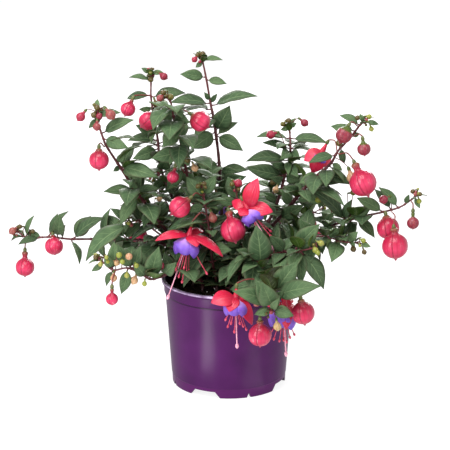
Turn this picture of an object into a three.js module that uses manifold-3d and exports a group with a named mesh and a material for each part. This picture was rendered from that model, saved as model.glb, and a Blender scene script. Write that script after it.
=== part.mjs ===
// A fuchsia in its nursery pot: a round plastic pot, its compost, the leafy stems that stand in the compost,
// the large hanging buds and the open blooms. Millimetres, +Z up; the model stands on z = 0.
import * as THREE from 'three';
import { mergeVertices } from 'three/addons/utils/BufferGeometryUtils.js';
import Module from 'manifold-3d';

const wasm = await Module();
wasm.setup();

// Pot and compost sizes. The feet's angles are in degrees from the front.
const POT = {
  height: 105.5, rimRadius: 66, lipHeight: 3, lipFillet: 0.4, wallTopRadius: 63.8, collarDepth: 12.5,
  collarStep: 0.9, collarDraft: 0.3, collarFillet: 1, baseRadius: 56, heelFlare: 0.5, wall: 1.6,
  innerTopTaper: 0.8, innerFloorTaper: 0.7, floorLevel: 6.5, floorThickness: 1.8, footWidth: 3.2, sides: 30,
};
const FEET = {
  count: 4, first: 20, notchHeight: 6, notchHalfWidth: 16, slope: 5, veeHeight: 4.6, veeHalfWidth: 2.9,
  cutDepth: 9.2, cutInset: 2, below: -2,
};
const DRAIN = { radius: 4, ringRadius: 34, cut: 8, sides: 6 };
const SOIL = {
  level: 97, edgeDrop: 3, crown: 1.5, crownFall: 40, clearance: 0.7, roughness: 1.3, rings: [4, 26, 50],
  sides: 18, holeDepth: 14, holeMargin: 12, holeSides: 4,
};

// Plant sizes
const STEM = { sides: 4, holeClearance: 0.3, rise: 9, standOff: 1.5 };
const LEAF = {
  thickness: 0.7, petiole: 0.12, petioleWidth: 1.1, fold: 0.22, bow: 0.1, slimmest: 0.4, broadest: 0.6,
  detailed: 37,
};
const FILL = { spacing: 36, length: 31, widthRatio: 0.5, lean: 0.35, droop: 0.16, quarterTurn: Math.PI / 2 };
const BUD = {
  sides: 6, ovaryLength: 4.5, ovaryRadius: 1.5, ovaryTop: 0.8, neckRatio: 0.15, pedicel: 0.65, pedicelSides: 3,
};
const BLOOM = {
  tubeLength: 9, tubeRadius: 3, tubeSides: 6, ovaryLength: 5, ovaryRadius: 1.7, sepalThickness: 0.9, sepalBow: 0.16,
  filament: 0.45, anther: 0.95, stigma: 1.3, spread: 1.1, seat: 0.6,
};
const COROLLA = { length: 20, wall: 0.9, petals: 4, sidesPerPetal: 3, overlap: 0.1, wave: 1.4 };
const OUTWARD = new THREE.Vector3(0, -1, 0.3);
const GAP = { nodes: 0.8, blades: 0.25, seat: 0.5 };
const SIMPLIFY = 0.03;

// The places on the plant are read in a level view from the front: px to the right and py down, in picture
// units, with the depth behind the pot's axis in millimetres. seen() turns such a reading into a place.
const VIEW = { distance: 1450, height: 571, aim: 158, unit: 0.97, centre: 225, axis: 229 };

// Bounds, in the same view, of the dense crown that the leaves set by rule stay inside.
const CROWN = [
  [128, 150], [150, 112], [168, 108], [192, 115], [200, 140], [216, 150], [232, 158], [252, 165], [272, 150],
  [296, 140], [318, 150], [330, 172], [350, 182], [354, 200], [370, 212], [368, 232], [350, 245], [333, 252],
  [318, 268], [318, 282], [280, 290], [240, 290], [190, 285], [165, 276], [140, 272], [115, 262], [112, 245],
  [118, 225], [118, 205], [128, 185], [122, 165],
];

// Leafy stems. root: [x, y] on the compost. route: [px, py, depth] from the compost to the tip.
// leaves: [base px, base py, tip px, tip py, width, how far the tip is nearer than the base].
// buds: [px, py, diameter, nearer than the stem, px and py where its stalk leaves the stem, stage].
// fill: the stretch of the stem, from 0 to 1, that carries pairs of leaves set by rule.
const STEMS = [
  {
    name: 'stem_left_tall', root: [-22, 8], thick: [2.2, 1], fill: [0.16, 0.5],
    route: [[192, 258, 6], [174, 240, 2], [160, 222, -4], [145, 203, -10], [135, 190, -16],
      [120, 167, -24], [107, 147, -30], [103, 138, -33], [98, 122, -36], [97, 111, -38]],
    leaves: [[103, 138, 129, 148, 12, 12], [104, 132, 134, 120, 11, 4], [100, 115, 121, 113, 7, 2],
      [124, 163, 158, 178, 14, 14], [124, 167, 140, 178, 8, 8], [134, 191, 104, 192, 10, 6],
      [136, 198, 121, 225, 13, 16], [137, 193, 142, 174, 6, -4]],
    buds: [[99, 116, 7, 4, 98, 122, 'dusky'], [80, 117, 9, 6, 97, 112, 'pink'],
      [111, 115, 10, 6, 98, 113, 'dusky'], [97, 127, 8, 8, 98, 120, 'dusky']],
  },
  {
    name: 'stem_left_inner', root: [-13, 24], thick: [1.9, 0.9], fill: [0.16, 0.56],
    route: [[196, 250, 24], [180, 215, 28], [167, 185, 34], [160, 165, 38], [158, 141, 42],
      [153, 112, 44], [151, 97, 44], [151, 84, 44], [151, 73, 44]],
    leaves: [[150, 80, 129, 78, 5, 2], [150, 95, 127, 99, 8, 4], [153, 97, 186, 93, 11, 4],
      [156, 135, 135, 125, 12, 10], [155, 122, 152, 144, 9, 12], [157, 141, 128, 141, 9, 8],
      [158, 147, 133, 159, 13, 12]],
    buds: [[151, 80, 6, 2, 151, 84, 'olive'], [164, 77, 8, 2, 151, 80, 'dusky']],
  },
  {
    name: 'stem_centre_left', root: [-5, 5], thick: [1.9, 0.9], fill: [0.18, 0.62],
    route: [[208, 245, 8], [198, 215, 2], [190, 190, -6], [184, 158, -16], [178, 131, -24],
      [173, 114, -28], [171, 103, -30], [167, 98, -32]],
    leaves: [[174, 116, 190, 122, 12, 6], [178, 131, 162, 147, 14, 12], [179, 135, 190, 150, 8, 6],
      [183, 152, 151, 158, 15, 14], [184, 152, 190, 167, 9, 10],
      [187, 168, 168, 190, 12, 16], [188, 180, 214, 186, 12, 12]],
    buds: [[160, 98, 7, 4, 168, 99, 'dusky']],
  },
  {
    name: 'stem_centre_tall', root: [4, 27], thick: [2.2, 0.9], fill: [0.14, 0.52],
    route: [[226, 245, 28], [222, 215, 30], [219.5, 168, 34], [217, 143, 36], [213, 115, 36],
      [211, 106, 36], [206.5, 80, 34], [203, 63, 32], [201, 57, 31]],
    leaves: [[203, 60, 223, 60, 5, 0], [206, 79, 180, 74.5, 11, 6], [207, 80, 227, 84, 8, 4],
      [210, 102, 170, 103, 11, 8], [211, 104, 258, 96, 10, 6], [216, 132, 230, 105, 20, -6],
      [217, 136, 238, 123, 8, -8], [216, 134, 191, 149, 16, 12],
      [217, 137, 243, 151, 14, 12], [219, 170, 197, 163, 10, 8], [220, 172, 248, 170, 10, 6]],
    buds: [[194, 60, 6, 3, 202, 59, 'pink']],
  },
  {
    name: 'stem_right_tall', root: [18, 16], thick: [2.3, 1], fill: [0.2, 0.56],
    route: [[252, 245, 18], [268, 222, 24], [278, 200, 32], [285, 175, 40], [290, 157, 46],
      [290, 135, 52], [289, 125, 54]],
    leaves: [[290, 138, 328, 143, 10, 10], [290, 139, 256, 137, 7, 6], [290, 148, 262, 143, 8, 2],
      [290, 150, 280, 160, 12, 14], [290, 149, 300, 160, 11, 10],
      [288, 160, 246, 161, 12, 6], [284, 178, 245, 168, 16, 14], [287, 168, 271, 163, 9, 12],
      [287, 166, 306, 173, 10, 14], [284, 178, 300, 181, 10, 8], [283, 182, 270, 178, 9, 6]],
    buds: [[271, 135, 9, 6, 282, 158, 'pink'], [305, 123, 8, 2, 289, 126, 'dusky']],
  },
  {
    name: 'stem_right_arching', root: [27, 2], thick: [2.1, 1], fill: [0.14, 0.6],
    route: [[262, 240, 0], [285, 212, -6], [303, 190, -12], [318, 175, -18], [331, 163, -24],
      [338, 151, -28], [350, 138, -32], [361, 124, -36], [367, 121, -38]],
    leaves: [[360, 125, 339, 116, 7, 2], [354, 132, 331, 126, 9, -6], [336, 155, 308, 163, 9, 12], [318, 175, 299, 183, 11, 10],
      [321, 173, 351, 184, 12, 10], [304, 189, 322, 205, 12, 10],
      [300, 193, 285, 186, 10, 6]],
    buds: [[371, 129, 5, 3, 366, 121, 'green'], [352, 178, 11, 6, 335, 157, 'peach']],
  },
  {
    name: 'stem_right_far', root: [33, -10], thick: [2.1, 0.9], fill: [0.12, 0.46],
    route: [[272, 254, -12], [300, 238, -14], [330, 226, -18], [346, 221, -22], [360, 217, -26],
      [383, 212, -32], [400, 207, -38], [412, 199, -42], [416, 195, -44]],
    leaves: [[346, 221, 308, 189, 13, 6], [398, 207, 378, 187, 9, -6], [383, 211, 356, 198, 11, 8],
      [392, 209, 374, 189, 9, -12], [350, 220, 372, 207, 12, 8],
      [358, 218, 375, 238, 10, 12], [343, 222, 352, 199, 8, 2], [322, 229, 334, 212, 10, 4]],
    buds: [[383, 200, 9, 4, 392, 209, 'dusky']],
  },
  {
    name: 'stem_right_low', root: [22, -20], thick: [1.6, 0.7], fill: [0.2, 0.6],
    route: [[262, 262, -28], [290, 243, -34], [316, 236, -40], [330, 238, -44], [345, 242, -48],
      [360, 243, -52]],
    leaves: [[326, 237, 343, 228, 8, 4], [338, 240, 331, 262, 17, 12], [346, 242, 358, 232, 9, 2],
      [312, 236, 300, 219, 14, 6], [316, 236, 306, 254, 10, 10]],
    buds: [[353, 249, 6, 3, 348, 242, 'olive']],
  },
  {
    name: 'stem_right_front', root: [13, -13], thick: [1.5, 0.7], fill: [0.26, 0.4],
    route: [[252, 266, -26], [268, 256, -44], [290, 251, -58], [304, 250, -68], [317, 247, -74]],
    leaves: [[300, 250, 324, 289, 16, 12], [294, 251, 320, 224, 18, 6], [284, 252, 270, 236, 12, 6],
      [288, 251, 282, 272, 12, 14]],
    buds: [[316, 250, 6, 2, 314, 248, 'green']],
  },
  {
    name: 'stem_over_rim', root: [2, -24], thick: [1.6, 0.7], fill: [0, 0],
    route: [[243, 262, -34], [249, 252, -46], [258, 262, -62], [266, 277, -76], [272, 289, -88],
      [274, 298, -98], [272, 312, -112]],
    leaves: [[261, 266, 256, 225, 23, 6], [254, 258, 249, 290, 21, 20],
      [273, 302, 232, 291, 16, 18], [272, 309, 262, 281, 19, 6],
      [274, 294, 298, 261, 21, 0], [274, 296, 321, 286, 17, 6], [272, 311, 294, 316, 10, 8],
      [272, 311, 255, 315, 7, 4], [272, 310, 280, 296, 7, 4]],
    buds: [[277, 327, 8, 4, 271, 310, 'peach']],
  },
  {
    name: 'stem_left_far', root: [-35, -4], thick: [1.9, 0.8], fill: [0.14, 0.4],
    route: [[182, 254, -8], [160, 243, -4], [140, 240, 2], [118, 239, 8], [90, 239, 14], [70, 239, 18],
      [50, 237, 20], [30, 238, 22], [24, 236, 23], [16, 231, 24]],
    leaves: [[72, 239, 105, 217, 12, 8], [48, 237, 69, 211, 7, 2], [52, 237, 58, 213, 8, -4],
      [42, 237, 18, 244, 7, 8], [26, 237, 34, 215, 5, 2], [72, 239, 79, 264, 6, 8],
      [98, 239, 104, 257, 8, 8], [92, 239, 116, 233, 8, 8], [120, 239, 140, 254, 10, 12]],
    buds: [[13, 231, 8, 3, 18, 232, 'dusky']],
  },
  {
    name: 'stem_left_low', root: [-26, -21], thick: [1.7, 0.8], fill: [0, 0],
    route: [[192, 268, -34], [172, 272, -46], [160, 277, -52], [150, 279, -58], [140, 273, -60],
      [127, 268, -60], [113, 270, -58], [103, 262, -56], [97, 258, -56]],
    leaves: [[111, 269, 105, 253, 9, 4], [128, 268, 121, 294, 11, 8], [130, 269, 117, 244, 12, 6],
      [150, 279, 159, 247, 16, 8], [146, 277, 134, 262, 11, 8], [164, 276, 176, 262, 12, 8],
      [172, 272, 164, 252, 12, 6]],
    buds: [[96, 257, 5, 1, 98, 259, 'olive'], [134, 281, 8, 4, 141, 274, 'peach'],
      [161, 266, 8, 6, 158, 278, 'dusky']],
  },
  {
    name: 'stem_left_shoulder', root: [-32, 12], thick: [1.6, 0.7], fill: [0.2, 0.6],
    route: [[180, 244, 14], [164, 230, 10], [150, 224, 2], [138, 221, -10], [128, 222, -18]],
    leaves: [[132, 221, 86, 261, 16, 14], [142, 222, 126, 238, 9, 10], [129, 222, 111, 208, 8, 2],
      [152, 224, 159, 203, 11, 0]],
    buds: [[147, 218, 10, 8, 150, 223, 'dusky']],
  },
  {
    name: 'stem_front_left', root: [-12, -20], thick: [1.6, 0.7], fill: [0, 0],
    route: [[212, 258, -34], [210, 236, -40], [207, 215, -40], [204, 198, -38], [202, 188, -38]],
    leaves: [[205, 200, 186, 177, 15, 2], [206, 206, 186, 212, 9, 6], [208, 218, 167, 232, 11, -8],
      [211, 244, 184, 287, 15, 10], [211, 248, 232, 250, 13, 8],
      [204, 196, 216, 176, 12, -4]],
    buds: [[213, 218, 9, 4, 206, 208, 'dusky']],
  },
  {
    name: 'stem_front_right', root: [9, -20], thick: [1.5, 0.7], fill: [0, 0],
    route: [[243, 256, -30], [243, 236, -30], [241, 214, -28], [237, 198, -26], [236, 186, -26]],
    leaves: [[238, 202, 228, 177, 14, 2], [241, 214, 256, 190, 12, -8], [243, 240, 224, 246, 9, 12],
      [243, 232, 262, 244, 10, 4], [239, 205, 216, 200, 10, 8]],
    buds: [[238, 183, 8, 1, 236, 187, 'pink']],
  },
  {
    name: 'stem_back_left', root: [-34, 22], thick: [1.7, 0.7], fill: [0.16, 1],
    route: [[176, 246, 38], [154, 230, 54], [140, 216, 68], [130, 208, 80]], leaves: [], buds: [],
  },
  {
    name: 'stem_back_left_high', root: [-22, 34], thick: [1.7, 0.7], fill: [0.16, 1],
    route: [[190, 240, 48], [172, 212, 66], [160, 190, 84], [154, 176, 96]], leaves: [], buds: [],
  },
  {
    name: 'stem_back_centre_high', root: [-6, 40], thick: [1.8, 0.7], fill: [0.16, 1],
    route: [[208, 240, 54], [201, 208, 74], [196, 186, 92], [194, 172, 104]], leaves: [], buds: [],
  },
  {
    name: 'stem_back_low', root: [-14, 48], thick: [1.6, 0.7], fill: [0.16, 1],
    route: [[205, 246, 66], [196, 230, 94], [190, 222, 120], [186, 222, 142]], leaves: [], buds: [],
  },
  {
    name: 'stem_back_centre', root: [8, 44], thick: [1.7, 0.7], fill: [0.16, 1],
    route: [[234, 244, 60], [240, 222, 86], [244, 206, 110], [247, 198, 130]], leaves: [], buds: [],
  },
  {
    name: 'stem_back_right_high', root: [22, 38], thick: [1.8, 0.7], fill: [0.16, 1],
    route: [[252, 240, 52], [266, 210, 70], [276, 188, 86], [282, 174, 98]], leaves: [], buds: [],
  },
  {
    name: 'stem_back_right', root: [34, 28], thick: [1.7, 0.7], fill: [0.16, 1],
    route: [[268, 244, 42], [292, 228, 60], [312, 214, 76], [326, 206, 90]], leaves: [], buds: [],
  },
  {
    name: 'stem_back_right_low', root: [22, 48], thick: [1.6, 0.7], fill: [0.16, 1],
    route: [[254, 248, 66], [272, 236, 92], [284, 230, 116], [292, 230, 136]], leaves: [], buds: [],
  },
];

// Large buds. body: [px, py, depth] of the round part. neck: where the neck starts. via: a place that the stalk
// passes. from: [px, py] on the stem that carries it.
const BUDS = [
  { name: 'bud_far_left', stem: 'stem_left_far', from: [30, 238], via: [26, 240, 16],
    neck: [25, 252, 15], body: [25, 267, 14], diameter: 19, stage: 'pink' },
  { name: 'bud_left_hanging', stem: 'stem_left_far', from: [50, 237], via: [51, 233, 12],
    neck: [53, 236, 7], body: [54, 246, 0], diameter: 18, stage: 'pink' },
  { name: 'bud_left_high', stem: 'stem_left_tall', from: [106, 145], via: [101, 143, -36],
    neck: [99, 149, -38], body: [99, 160, -39], diameter: 19, stage: 'pink' },
  { name: 'bud_left_top', stem: 'stem_left_inner', from: [151, 95], via: [140, 95, 36],
    neck: [132, 100, 32], body: [128, 109, 30], diameter: 15, stage: 'pink' },
  { name: 'bud_inner_top', stem: 'stem_left_inner', from: [152, 107], via: [156, 108, 36],
    neck: [156, 114, 31], body: [148, 121, 26], diameter: 19, stage: 'pink' },
  { name: 'bud_centre_high', stem: 'stem_centre_left', from: [172, 110], via: [183, 110, -33],
    neck: [192, 115, -37], body: [200, 121, -38], diameter: 20, stage: 'pink' },
  { name: 'bud_centre', stem: 'stem_front_left', from: [203, 195], via: [196, 193, -46],
    neck: [189, 199, -50], body: [180, 207, -52], diameter: 21, stage: 'pink' },
  { name: 'bud_front_centre', stem: 'stem_front_right', from: [240, 210], via: [232, 206, -38],
    neck: [229, 212, -44], body: [233, 230, -50], diameter: 24, stage: 'pink' },
  { name: 'bud_rim', stem: 'stem_over_rim', from: [272, 309], via: [263, 312, -107],
    neck: [260, 321, -108], body: [260, 335, -108], diameter: 22, stage: 'pink' },
  { name: 'bud_rim_right', stem: 'stem_over_rim', from: [274, 298], via: [290, 292, -98],
    neck: [301, 300, -101], body: [303, 313, -102], diameter: 22, stage: 'pink' },
  { name: 'bud_right_dusky', stem: 'stem_right_arching', from: [359, 127], via: [353, 122, -42],
    neck: [348, 127, -44], body: [344, 135, -45], diameter: 16, stage: 'dusky' },
  { name: 'bud_right_pale', stem: 'stem_right_arching', from: [353, 134], via: [359, 134, -42],
    neck: [363, 141, -44], body: [364, 149, -45], diameter: 13, stage: 'dusky' },
  { name: 'bud_right_large', stem: 'stem_right_arching', from: [338, 152], via: [347, 153, -38],
    neck: [355, 164, -45], body: [363, 183, -49], diameter: 26, stage: 'pink' },
  { name: 'bud_far_right_upper', stem: 'stem_right_far', from: [382, 212], via: [385, 211, -40],
    neck: [386, 216, -43], body: [388, 228, -45], diameter: 22, stage: 'pink' },
  { name: 'bud_far_right_lower', stem: 'stem_right_far', from: [392, 209], via: [395, 216, -54],
    neck: [394, 229, -62], body: [395, 246, -64], diameter: 25, stage: 'pink' },
  { name: 'bud_far_right_tip', stem: 'stem_right_far', from: [411, 200], via: [413, 204, -48],
    neck: [413, 213, -49], body: [413, 223, -49], diameter: 12, stage: 'dusky' },
  { name: 'bud_low_left', stem: 'stem_left_low', from: [115, 270], via: [113, 277, -66],
    neck: [112, 289, -67], body: [112, 299, -67], diameter: 12, stage: 'pink' },
  { name: 'bud_left_middle', stem: 'stem_centre_left', from: [187, 172], via: [180, 166, -20],
    neck: [175, 168, -24], body: [173, 177, -26], diameter: 12, stage: 'pink' },
  { name: 'bud_back_left', stem: 'stem_back_left', from: [140, 216], via: [138, 214, 78],
    neck: [138, 222, 82], body: [138, 236, 84], diameter: 20, stage: 'pink' },
  { name: 'bud_back_centre', stem: 'stem_back_centre', from: [245, 204], via: [253, 205, 120],
    neck: [254, 214, 124], body: [254, 228, 126], diameter: 21, stage: 'pink' },
  { name: 'bud_back_right', stem: 'stem_back_right', from: [312, 214], via: [313, 212, 86],
    neck: [314, 222, 90], body: [314, 236, 92], diameter: 18, stage: 'pink' },
];

// Open blooms. mouth: the tube's lower end. aim: the middle of the corolla's rim. sepals: [tip px, tip py, width,
// how far the tip is nearer than the mouth]. stamens and style: [end px, end py, nearer].
const BLOOMS = [
  { name: 'left', stem: 'stem_front_left', from: [207, 214], via: [200, 213, -52], mouth: [189, 236, -54],
    aim: [184, 259, -57], reach: 0.98, show: 0.45,
    sepals: [[155, 241, 15, 8], [223, 257, 16, 8], [197, 247, 15, 14], [203, 231, 12, -24]],
    stamens: [[177, 272, 4], [206, 273, 6]], style: [168, 297, 4] },
  { name: 'centre', stem: 'stem_front_right', from: [238, 202], via: [241, 197, -38], mouth: [248, 209, -48],
    aim: [258, 226, -52], reach: 0.76, show: 2.2,
    sepals: [[258, 178, 17, 2], [273, 212, 16, 6], [240, 216, 13, 10], [232, 201, 12, -12]],
    stamens: [[266, 240, 6], [270, 236, 4]], style: [272, 248, 8] },
  { name: 'rim', stem: 'stem_over_rim', from: [268, 281], via: [249, 279, -84], mouth: [236, 298, -90],
    aim: [235, 319, -92], reach: 0.86, show: 0.9,
    sepals: [[211, 303, 21, 8], [252, 325, 15, 2], [229, 312, 14, 13], [256, 299, 13, -14]],
    stamens: [[226, 322, 4], [243, 327, 2]], style: [237, 346, 0] },
  { name: 'rim_right', stem: 'stem_over_rim', from: [274, 299], via: [281, 292, -88], mouth: [284, 306, -84],
    aim: [281, 327, -86], reach: 1.06, show: 0.8,
    sepals: [[286, 330, 12, 16], [300, 317, 13, -4], [267, 306, 13, 4], [291, 299, 12, -20]],
    stamens: [[274, 339, 2], [290, 338, -2]], style: [286, 354, 0] },
  { name: 'right_high', stem: 'stem_right_arching', from: [337, 152], via: [335, 141, -14], mouth: [322, 152, -5],
    aim: [313, 168, -3], reach: 0.5, show: 0.8,
    sepals: [[304, 161, 16, 4], [312, 173, 17, 2], [327, 169, 15, 0], [314, 168, 13, -16]],
    stamens: [[309, 176, -2], [313, 178, -4]], style: [308, 183, -2] },
  { name: 'back', stem: 'stem_back_centre_high', from: [195, 180], via: [208, 184, 114], mouth: [216, 200, 122],
    aim: [216, 221, 125], reach: 0.95, show: -0.8,
    sepals: [[193, 206, 16, 4], [240, 209, 16, 4], [210, 205, 14, -26], [222, 198, 13, 20]],
    stamens: [[210, 236, 2], [221, 238, 2]], style: [216, 254, 0] },
];

const COLOURS = {
  pot: 0x5b2a63, soil: 0x1a1512, leafyStem: 0x4a6a45, bud: 0xeb3c5f, bloom: 0xf23350, corolla: 0x8a68e0,
};

// Readings and small helpers
const pitch = Math.atan2(VIEW.height - VIEW.aim, VIEW.distance);
const focal = Math.hypot(VIEW.height - VIEW.aim, VIEW.distance) / VIEW.unit;
const eye = new THREE.Vector3((VIEW.centre - VIEW.axis) * VIEW.unit, -VIEW.distance, VIEW.height);
const ahead = new THREE.Vector3(0, Math.cos(pitch), -Math.sin(pitch));
const overhead = new THREE.Vector3(0, Math.sin(pitch), Math.cos(pitch));
const UP = new THREE.Vector3(0, 0, 1);

// The place that is seen at (px, py) and lies `back` millimetres behind the pot's axis.
function seen(px, py, back) {
  const ray = ahead.clone().addScaledVector(overhead, (VIEW.centre - py) / focal);
  ray.x += (px - VIEW.centre) / focal;
  return eye.clone().addScaledVector(ray, (back + VIEW.distance) / ray.y);
}

// Where a place is seen, as [px, py].
function picture(point) {
  const away = point.clone().sub(eye);
  const depth = away.dot(ahead);
  return [VIEW.centre + (away.x / depth) * focal, VIEW.centre - (away.dot(overhead) / depth) * focal];
}

// A steady value from -1 to 1 for each pair of counts.
function scatter(a, b) {
  const wave = Math.sin(a * 12.9898 + b * 78.233) * 43758.5453;
  return (wave - Math.floor(wave)) * 2 - 1;
}

function insideCrown(point) {
  const [px, py] = picture(point);
  let inside = false;
  CROWN.forEach(([ax, ay], i) => {
    const [bx, by] = CROWN[(i + 1) % CROWN.length];
    if (ay > py !== by > py && px < ((bx - ax) * (py - ay)) / (by - ay) + ax) inside = !inside;
  });
  return inside;
}

// Solids
function solidOf(positions, indices) {
  const make = (order) => new wasm.Manifold(new wasm.Mesh({
    numProp: 3, vertProperties: Float32Array.from(positions), triVerts: Uint32Array.from(order),
  }));
  const solid = make(indices);
  if (solid.volume() > 0) return solid;
  const turned = [];
  for (let i = 0; i < indices.length; i += 3) turned.push(indices[i], indices[i + 2], indices[i + 1]);
  return make(turned);
}

function solidOfGeometry(geometry) {
  geometry.deleteAttribute('normal');
  geometry.deleteAttribute('uv');
  const merged = mergeVertices(geometry, 1e-4);
  return solidOf(merged.attributes.position.array, merged.index.array);
}

function geometryOf(solid) {
  const mesh = solid.getMesh();
  const geometry = new THREE.BufferGeometry();
  geometry.setAttribute('position', new THREE.BufferAttribute(Float32Array.from(mesh.vertProperties), 3));
  geometry.setIndex(new THREE.BufferAttribute(Uint32Array.from(mesh.triVerts), 1));
  geometry.computeVertexNormals();
  return geometry;
}

// Joins solids, drops loose scraps and fills what the joining sealed.
function fuse(solids) {
  const pieces = wasm.Manifold.union(solids).simplify(SIMPLIFY).decompose();
  return pieces.reduce((a, b) => (b.volume() > a.volume() ? b : a));
}

// A closed skin over rings of points that have the same count each.
function loft(rings) {
  const sides = rings[0].length;
  const positions = rings.flat().flatMap((p) => [p.x, p.y, p.z]);
  const indices = [];
  for (let r = 0; r + 1 < rings.length; r += 1) {
    for (let s = 0; s < sides; s += 1) {
      const a = r * sides + s;
      const b = r * sides + ((s + 1) % sides);
      indices.push(a, b, b + sides, a, b + sides, a + sides);
    }
  }
  const last = (rings.length - 1) * sides;
  for (let s = 1; s + 1 < sides; s += 1) {
    indices.push(0, s + 1, s, last, last + s, last + s + 1);
  }
  return solidOf(positions, indices);
}

function squareTo(axis) {
  const side = new THREE.Vector3().crossVectors(axis, Math.abs(axis.z) > 0.9 ? new THREE.Vector3(0, 1, 0) : UP);
  return side.normalize();
}

function ring(centre, axis, side, radii) {
  const across = new THREE.Vector3().crossVectors(axis, side).normalize();
  return radii.map((radius, i) => {
    const turn = (i / radii.length) * Math.PI * 2;
    return centre.clone().addScaledVector(side, Math.cos(turn) * radius)
      .addScaledVector(across, Math.sin(turn) * radius);
  });
}

// A round rod through points, with a radius for each of them.
function rod(points, radii, sides) {
  let side = squareTo(points[1].clone().sub(points[0]).normalize());
  return loft(points.map((point, i) => {
    const axis = points[Math.min(i + 1, points.length - 1)].clone().sub(points[Math.max(i - 1, 0)]).normalize();
    side = side.clone().addScaledVector(axis, -side.dot(axis)).normalize();
    return ring(point, axis, side, Array(sides).fill(radii[i]));
  }));
}

// A turned form along an axis, from [distance, radius] stations.
function turned(start, axis, stations, sides) {
  const side = squareTo(axis);
  return loft(stations.map(([distance, radius]) => (
    ring(start.clone().addScaledVector(axis, distance), axis, side, Array(sides).fill(radius))
  )));
}

// A folded, arched blade from `base` to `tip`, whose upper face looks along `facing`. With a `stalk`, a slim
// petiole runs from there to the base.
function blade({ stalk, base, tip, facing, width, thickness, bow, stations, fold }) {
  const along = tip.clone().sub(base);
  const length = along.length();
  along.divideScalar(length);
  const normal = facing.clone().addScaledVector(along, -facing.dot(along)).normalize();
  const across = new THREE.Vector3().crossVectors(along, normal);
  const half = normal.clone().multiplyScalar(thickness / 2);
  const place = (t, offset) => base.clone().addScaledVector(along, t * length).addScaledVector(across, offset)
    .addScaledVector(normal, bow * length * 4 * t * (1 - t) + Math.abs(offset) * fold);
  const positions = [];
  const indices = [];
  const add = (point) => positions.push(point.x, point.y, point.z) / 3 - 1;
  const edge = LEAF.petioleWidth / 2;
  const root = [[-edge, 1], [edge, 1], [0, -1]].map(([offset, level]) => (
    place(0, offset).addScaledVector(normal, (level * thickness) / 2)
  ));
  const rows = [];
  if (stalk) {
    const shift = stalk.clone().sub(base);
    const [left, right, under] = root.map((point) => add(point.clone().add(shift)));
    rows.push({ top: [left, right], under: [under] });
    indices.push(left, under, right);
  }
  const [left, right, under] = root.map(add);
  if (!stalk) indices.push(left, under, right);
  rows.push({ top: [left, right], under: [under] });
  stations.forEach(([t, w]) => {
    const line = [-1, 0, 1].map((part) => place(t, (part * w * width) / 2));
    const top = line.map((p) => add(p.clone().add(half)));
    rows.push({ top, under: line.map((p) => add(p.clone().sub(half))) });
  });
  const point = add(tip.clone());
  rows.push({ top: [point], under: [point] });
  for (let r = 0; r + 1 < rows.length; r += 1) {
    const [near, far] = [rows[r], rows[r + 1]];
    zip(near.top, far.top).forEach(([a, b, c]) => indices.push(a, b, c));
    zip(near.under, far.under).forEach(([a, b, c]) => indices.push(a, c, b));
    sideFaces(near.top.at(-1), near.under.at(-1), far.top.at(-1), far.under.at(-1), indices);
    sideFaces(near.under[0], near.top[0], far.under[0], far.top[0], indices);
  }
  return solidOf(positions, indices);
}

// Two triangles between an edge from `high` to `low` and the next such edge, or one where an edge is a point.
function sideFaces(high, low, nextHigh, nextLow, indices) {
  if (high !== low) indices.push(low, nextHigh, high);
  if (nextHigh !== nextLow) indices.push(low, nextLow, nextHigh);
}

// The triangles between a row of points and the next row.
function zip(near, far) {
  const triangles = [];
  const [n, m] = [near.length, far.length];
  let [i, j] = [0, 0];
  while (i < n - 1 || j < m - 1) {
    const onFar = i === n - 1 || (j < m - 1 && (j + 0.5) / (m - 1) < (i + 0.5) / (n - 1));
    triangles.push(onFar ? [near[i], far[j + 1], far[j]] : [near[i], near[i + 1], far[j]]);
    if (onFar) j += 1;
    else i += 1;
  }
  return triangles;
}

const FULL_BLADE = [[0.27, 0.86], [0.6, 0.88]];
const SMALL_BLADE = [[0.42, 1]];
const SEPAL_BLADE = [[0.5, 0.96]];

// Everything placed so far, so that what follows keeps clear of it.
const placed = [];

function remember(node, solid) {
  placed.push({ node, solid, box: solid.boundingBox() });
  return solid;
}

function isClear(solid, node, gap) {
  const box = solid.boundingBox();
  return placed.every((other) => {
    if (other.node === node) return true;
    const apart = [0, 1, 2].some((k) => (
      box.min[k] > other.box.max[k] + gap || box.max[k] < other.box.min[k] - gap
    ));
    return apart || solid.minGap(other.solid, gap) >= gap - 1e-6;
  });
}

// Pot and compost
const INSIDE = {
  floorZ: POT.floorLevel + POT.floorThickness, floorRadius: POT.baseRadius - POT.wall + POT.innerFloorTaper,
  collarZ: POT.height - POT.collarDepth, collarRadius: POT.wallTopRadius - POT.wall - POT.innerTopTaper,
};

function potProfile() {
  const p = POT;
  const lipZ = p.height - p.lipHeight;
  return [
    [0, p.floorLevel], [p.baseRadius - p.footWidth, p.floorLevel], [p.baseRadius - p.footWidth, 0],
    [p.baseRadius, 0], [p.baseRadius + p.heelFlare, p.floorLevel],
    [p.wallTopRadius - p.collarStep - p.collarDraft, INSIDE.collarZ - p.collarFillet],
    [p.wallTopRadius - p.collarDraft, INSIDE.collarZ], [p.wallTopRadius, lipZ - p.lipFillet], [p.rimRadius, lipZ],
    [p.rimRadius, p.height], [p.wallTopRadius - p.wall, p.height], [INSIDE.collarRadius, INSIDE.collarZ],
    [INSIDE.floorRadius, INSIDE.floorZ], [0, INSIDE.floorZ],
  ];
}

// A wedge that cuts the foot ring: its outline is drawn across the radius and extruded along it.
function footCutter(angle, outline) {
  const shape = new THREE.Shape(outline.map(([x, z]) => new THREE.Vector2(x, z)));
  const geometry = new THREE.ExtrudeGeometry(shape, { depth: FEET.cutDepth, bevelEnabled: false });
  geometry.rotateX(Math.PI / 2);
  geometry.translate(0, -(POT.baseRadius - POT.footWidth - FEET.cutInset), 0);
  geometry.rotateZ(THREE.MathUtils.degToRad(angle));
  return solidOfGeometry(geometry);
}

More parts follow.
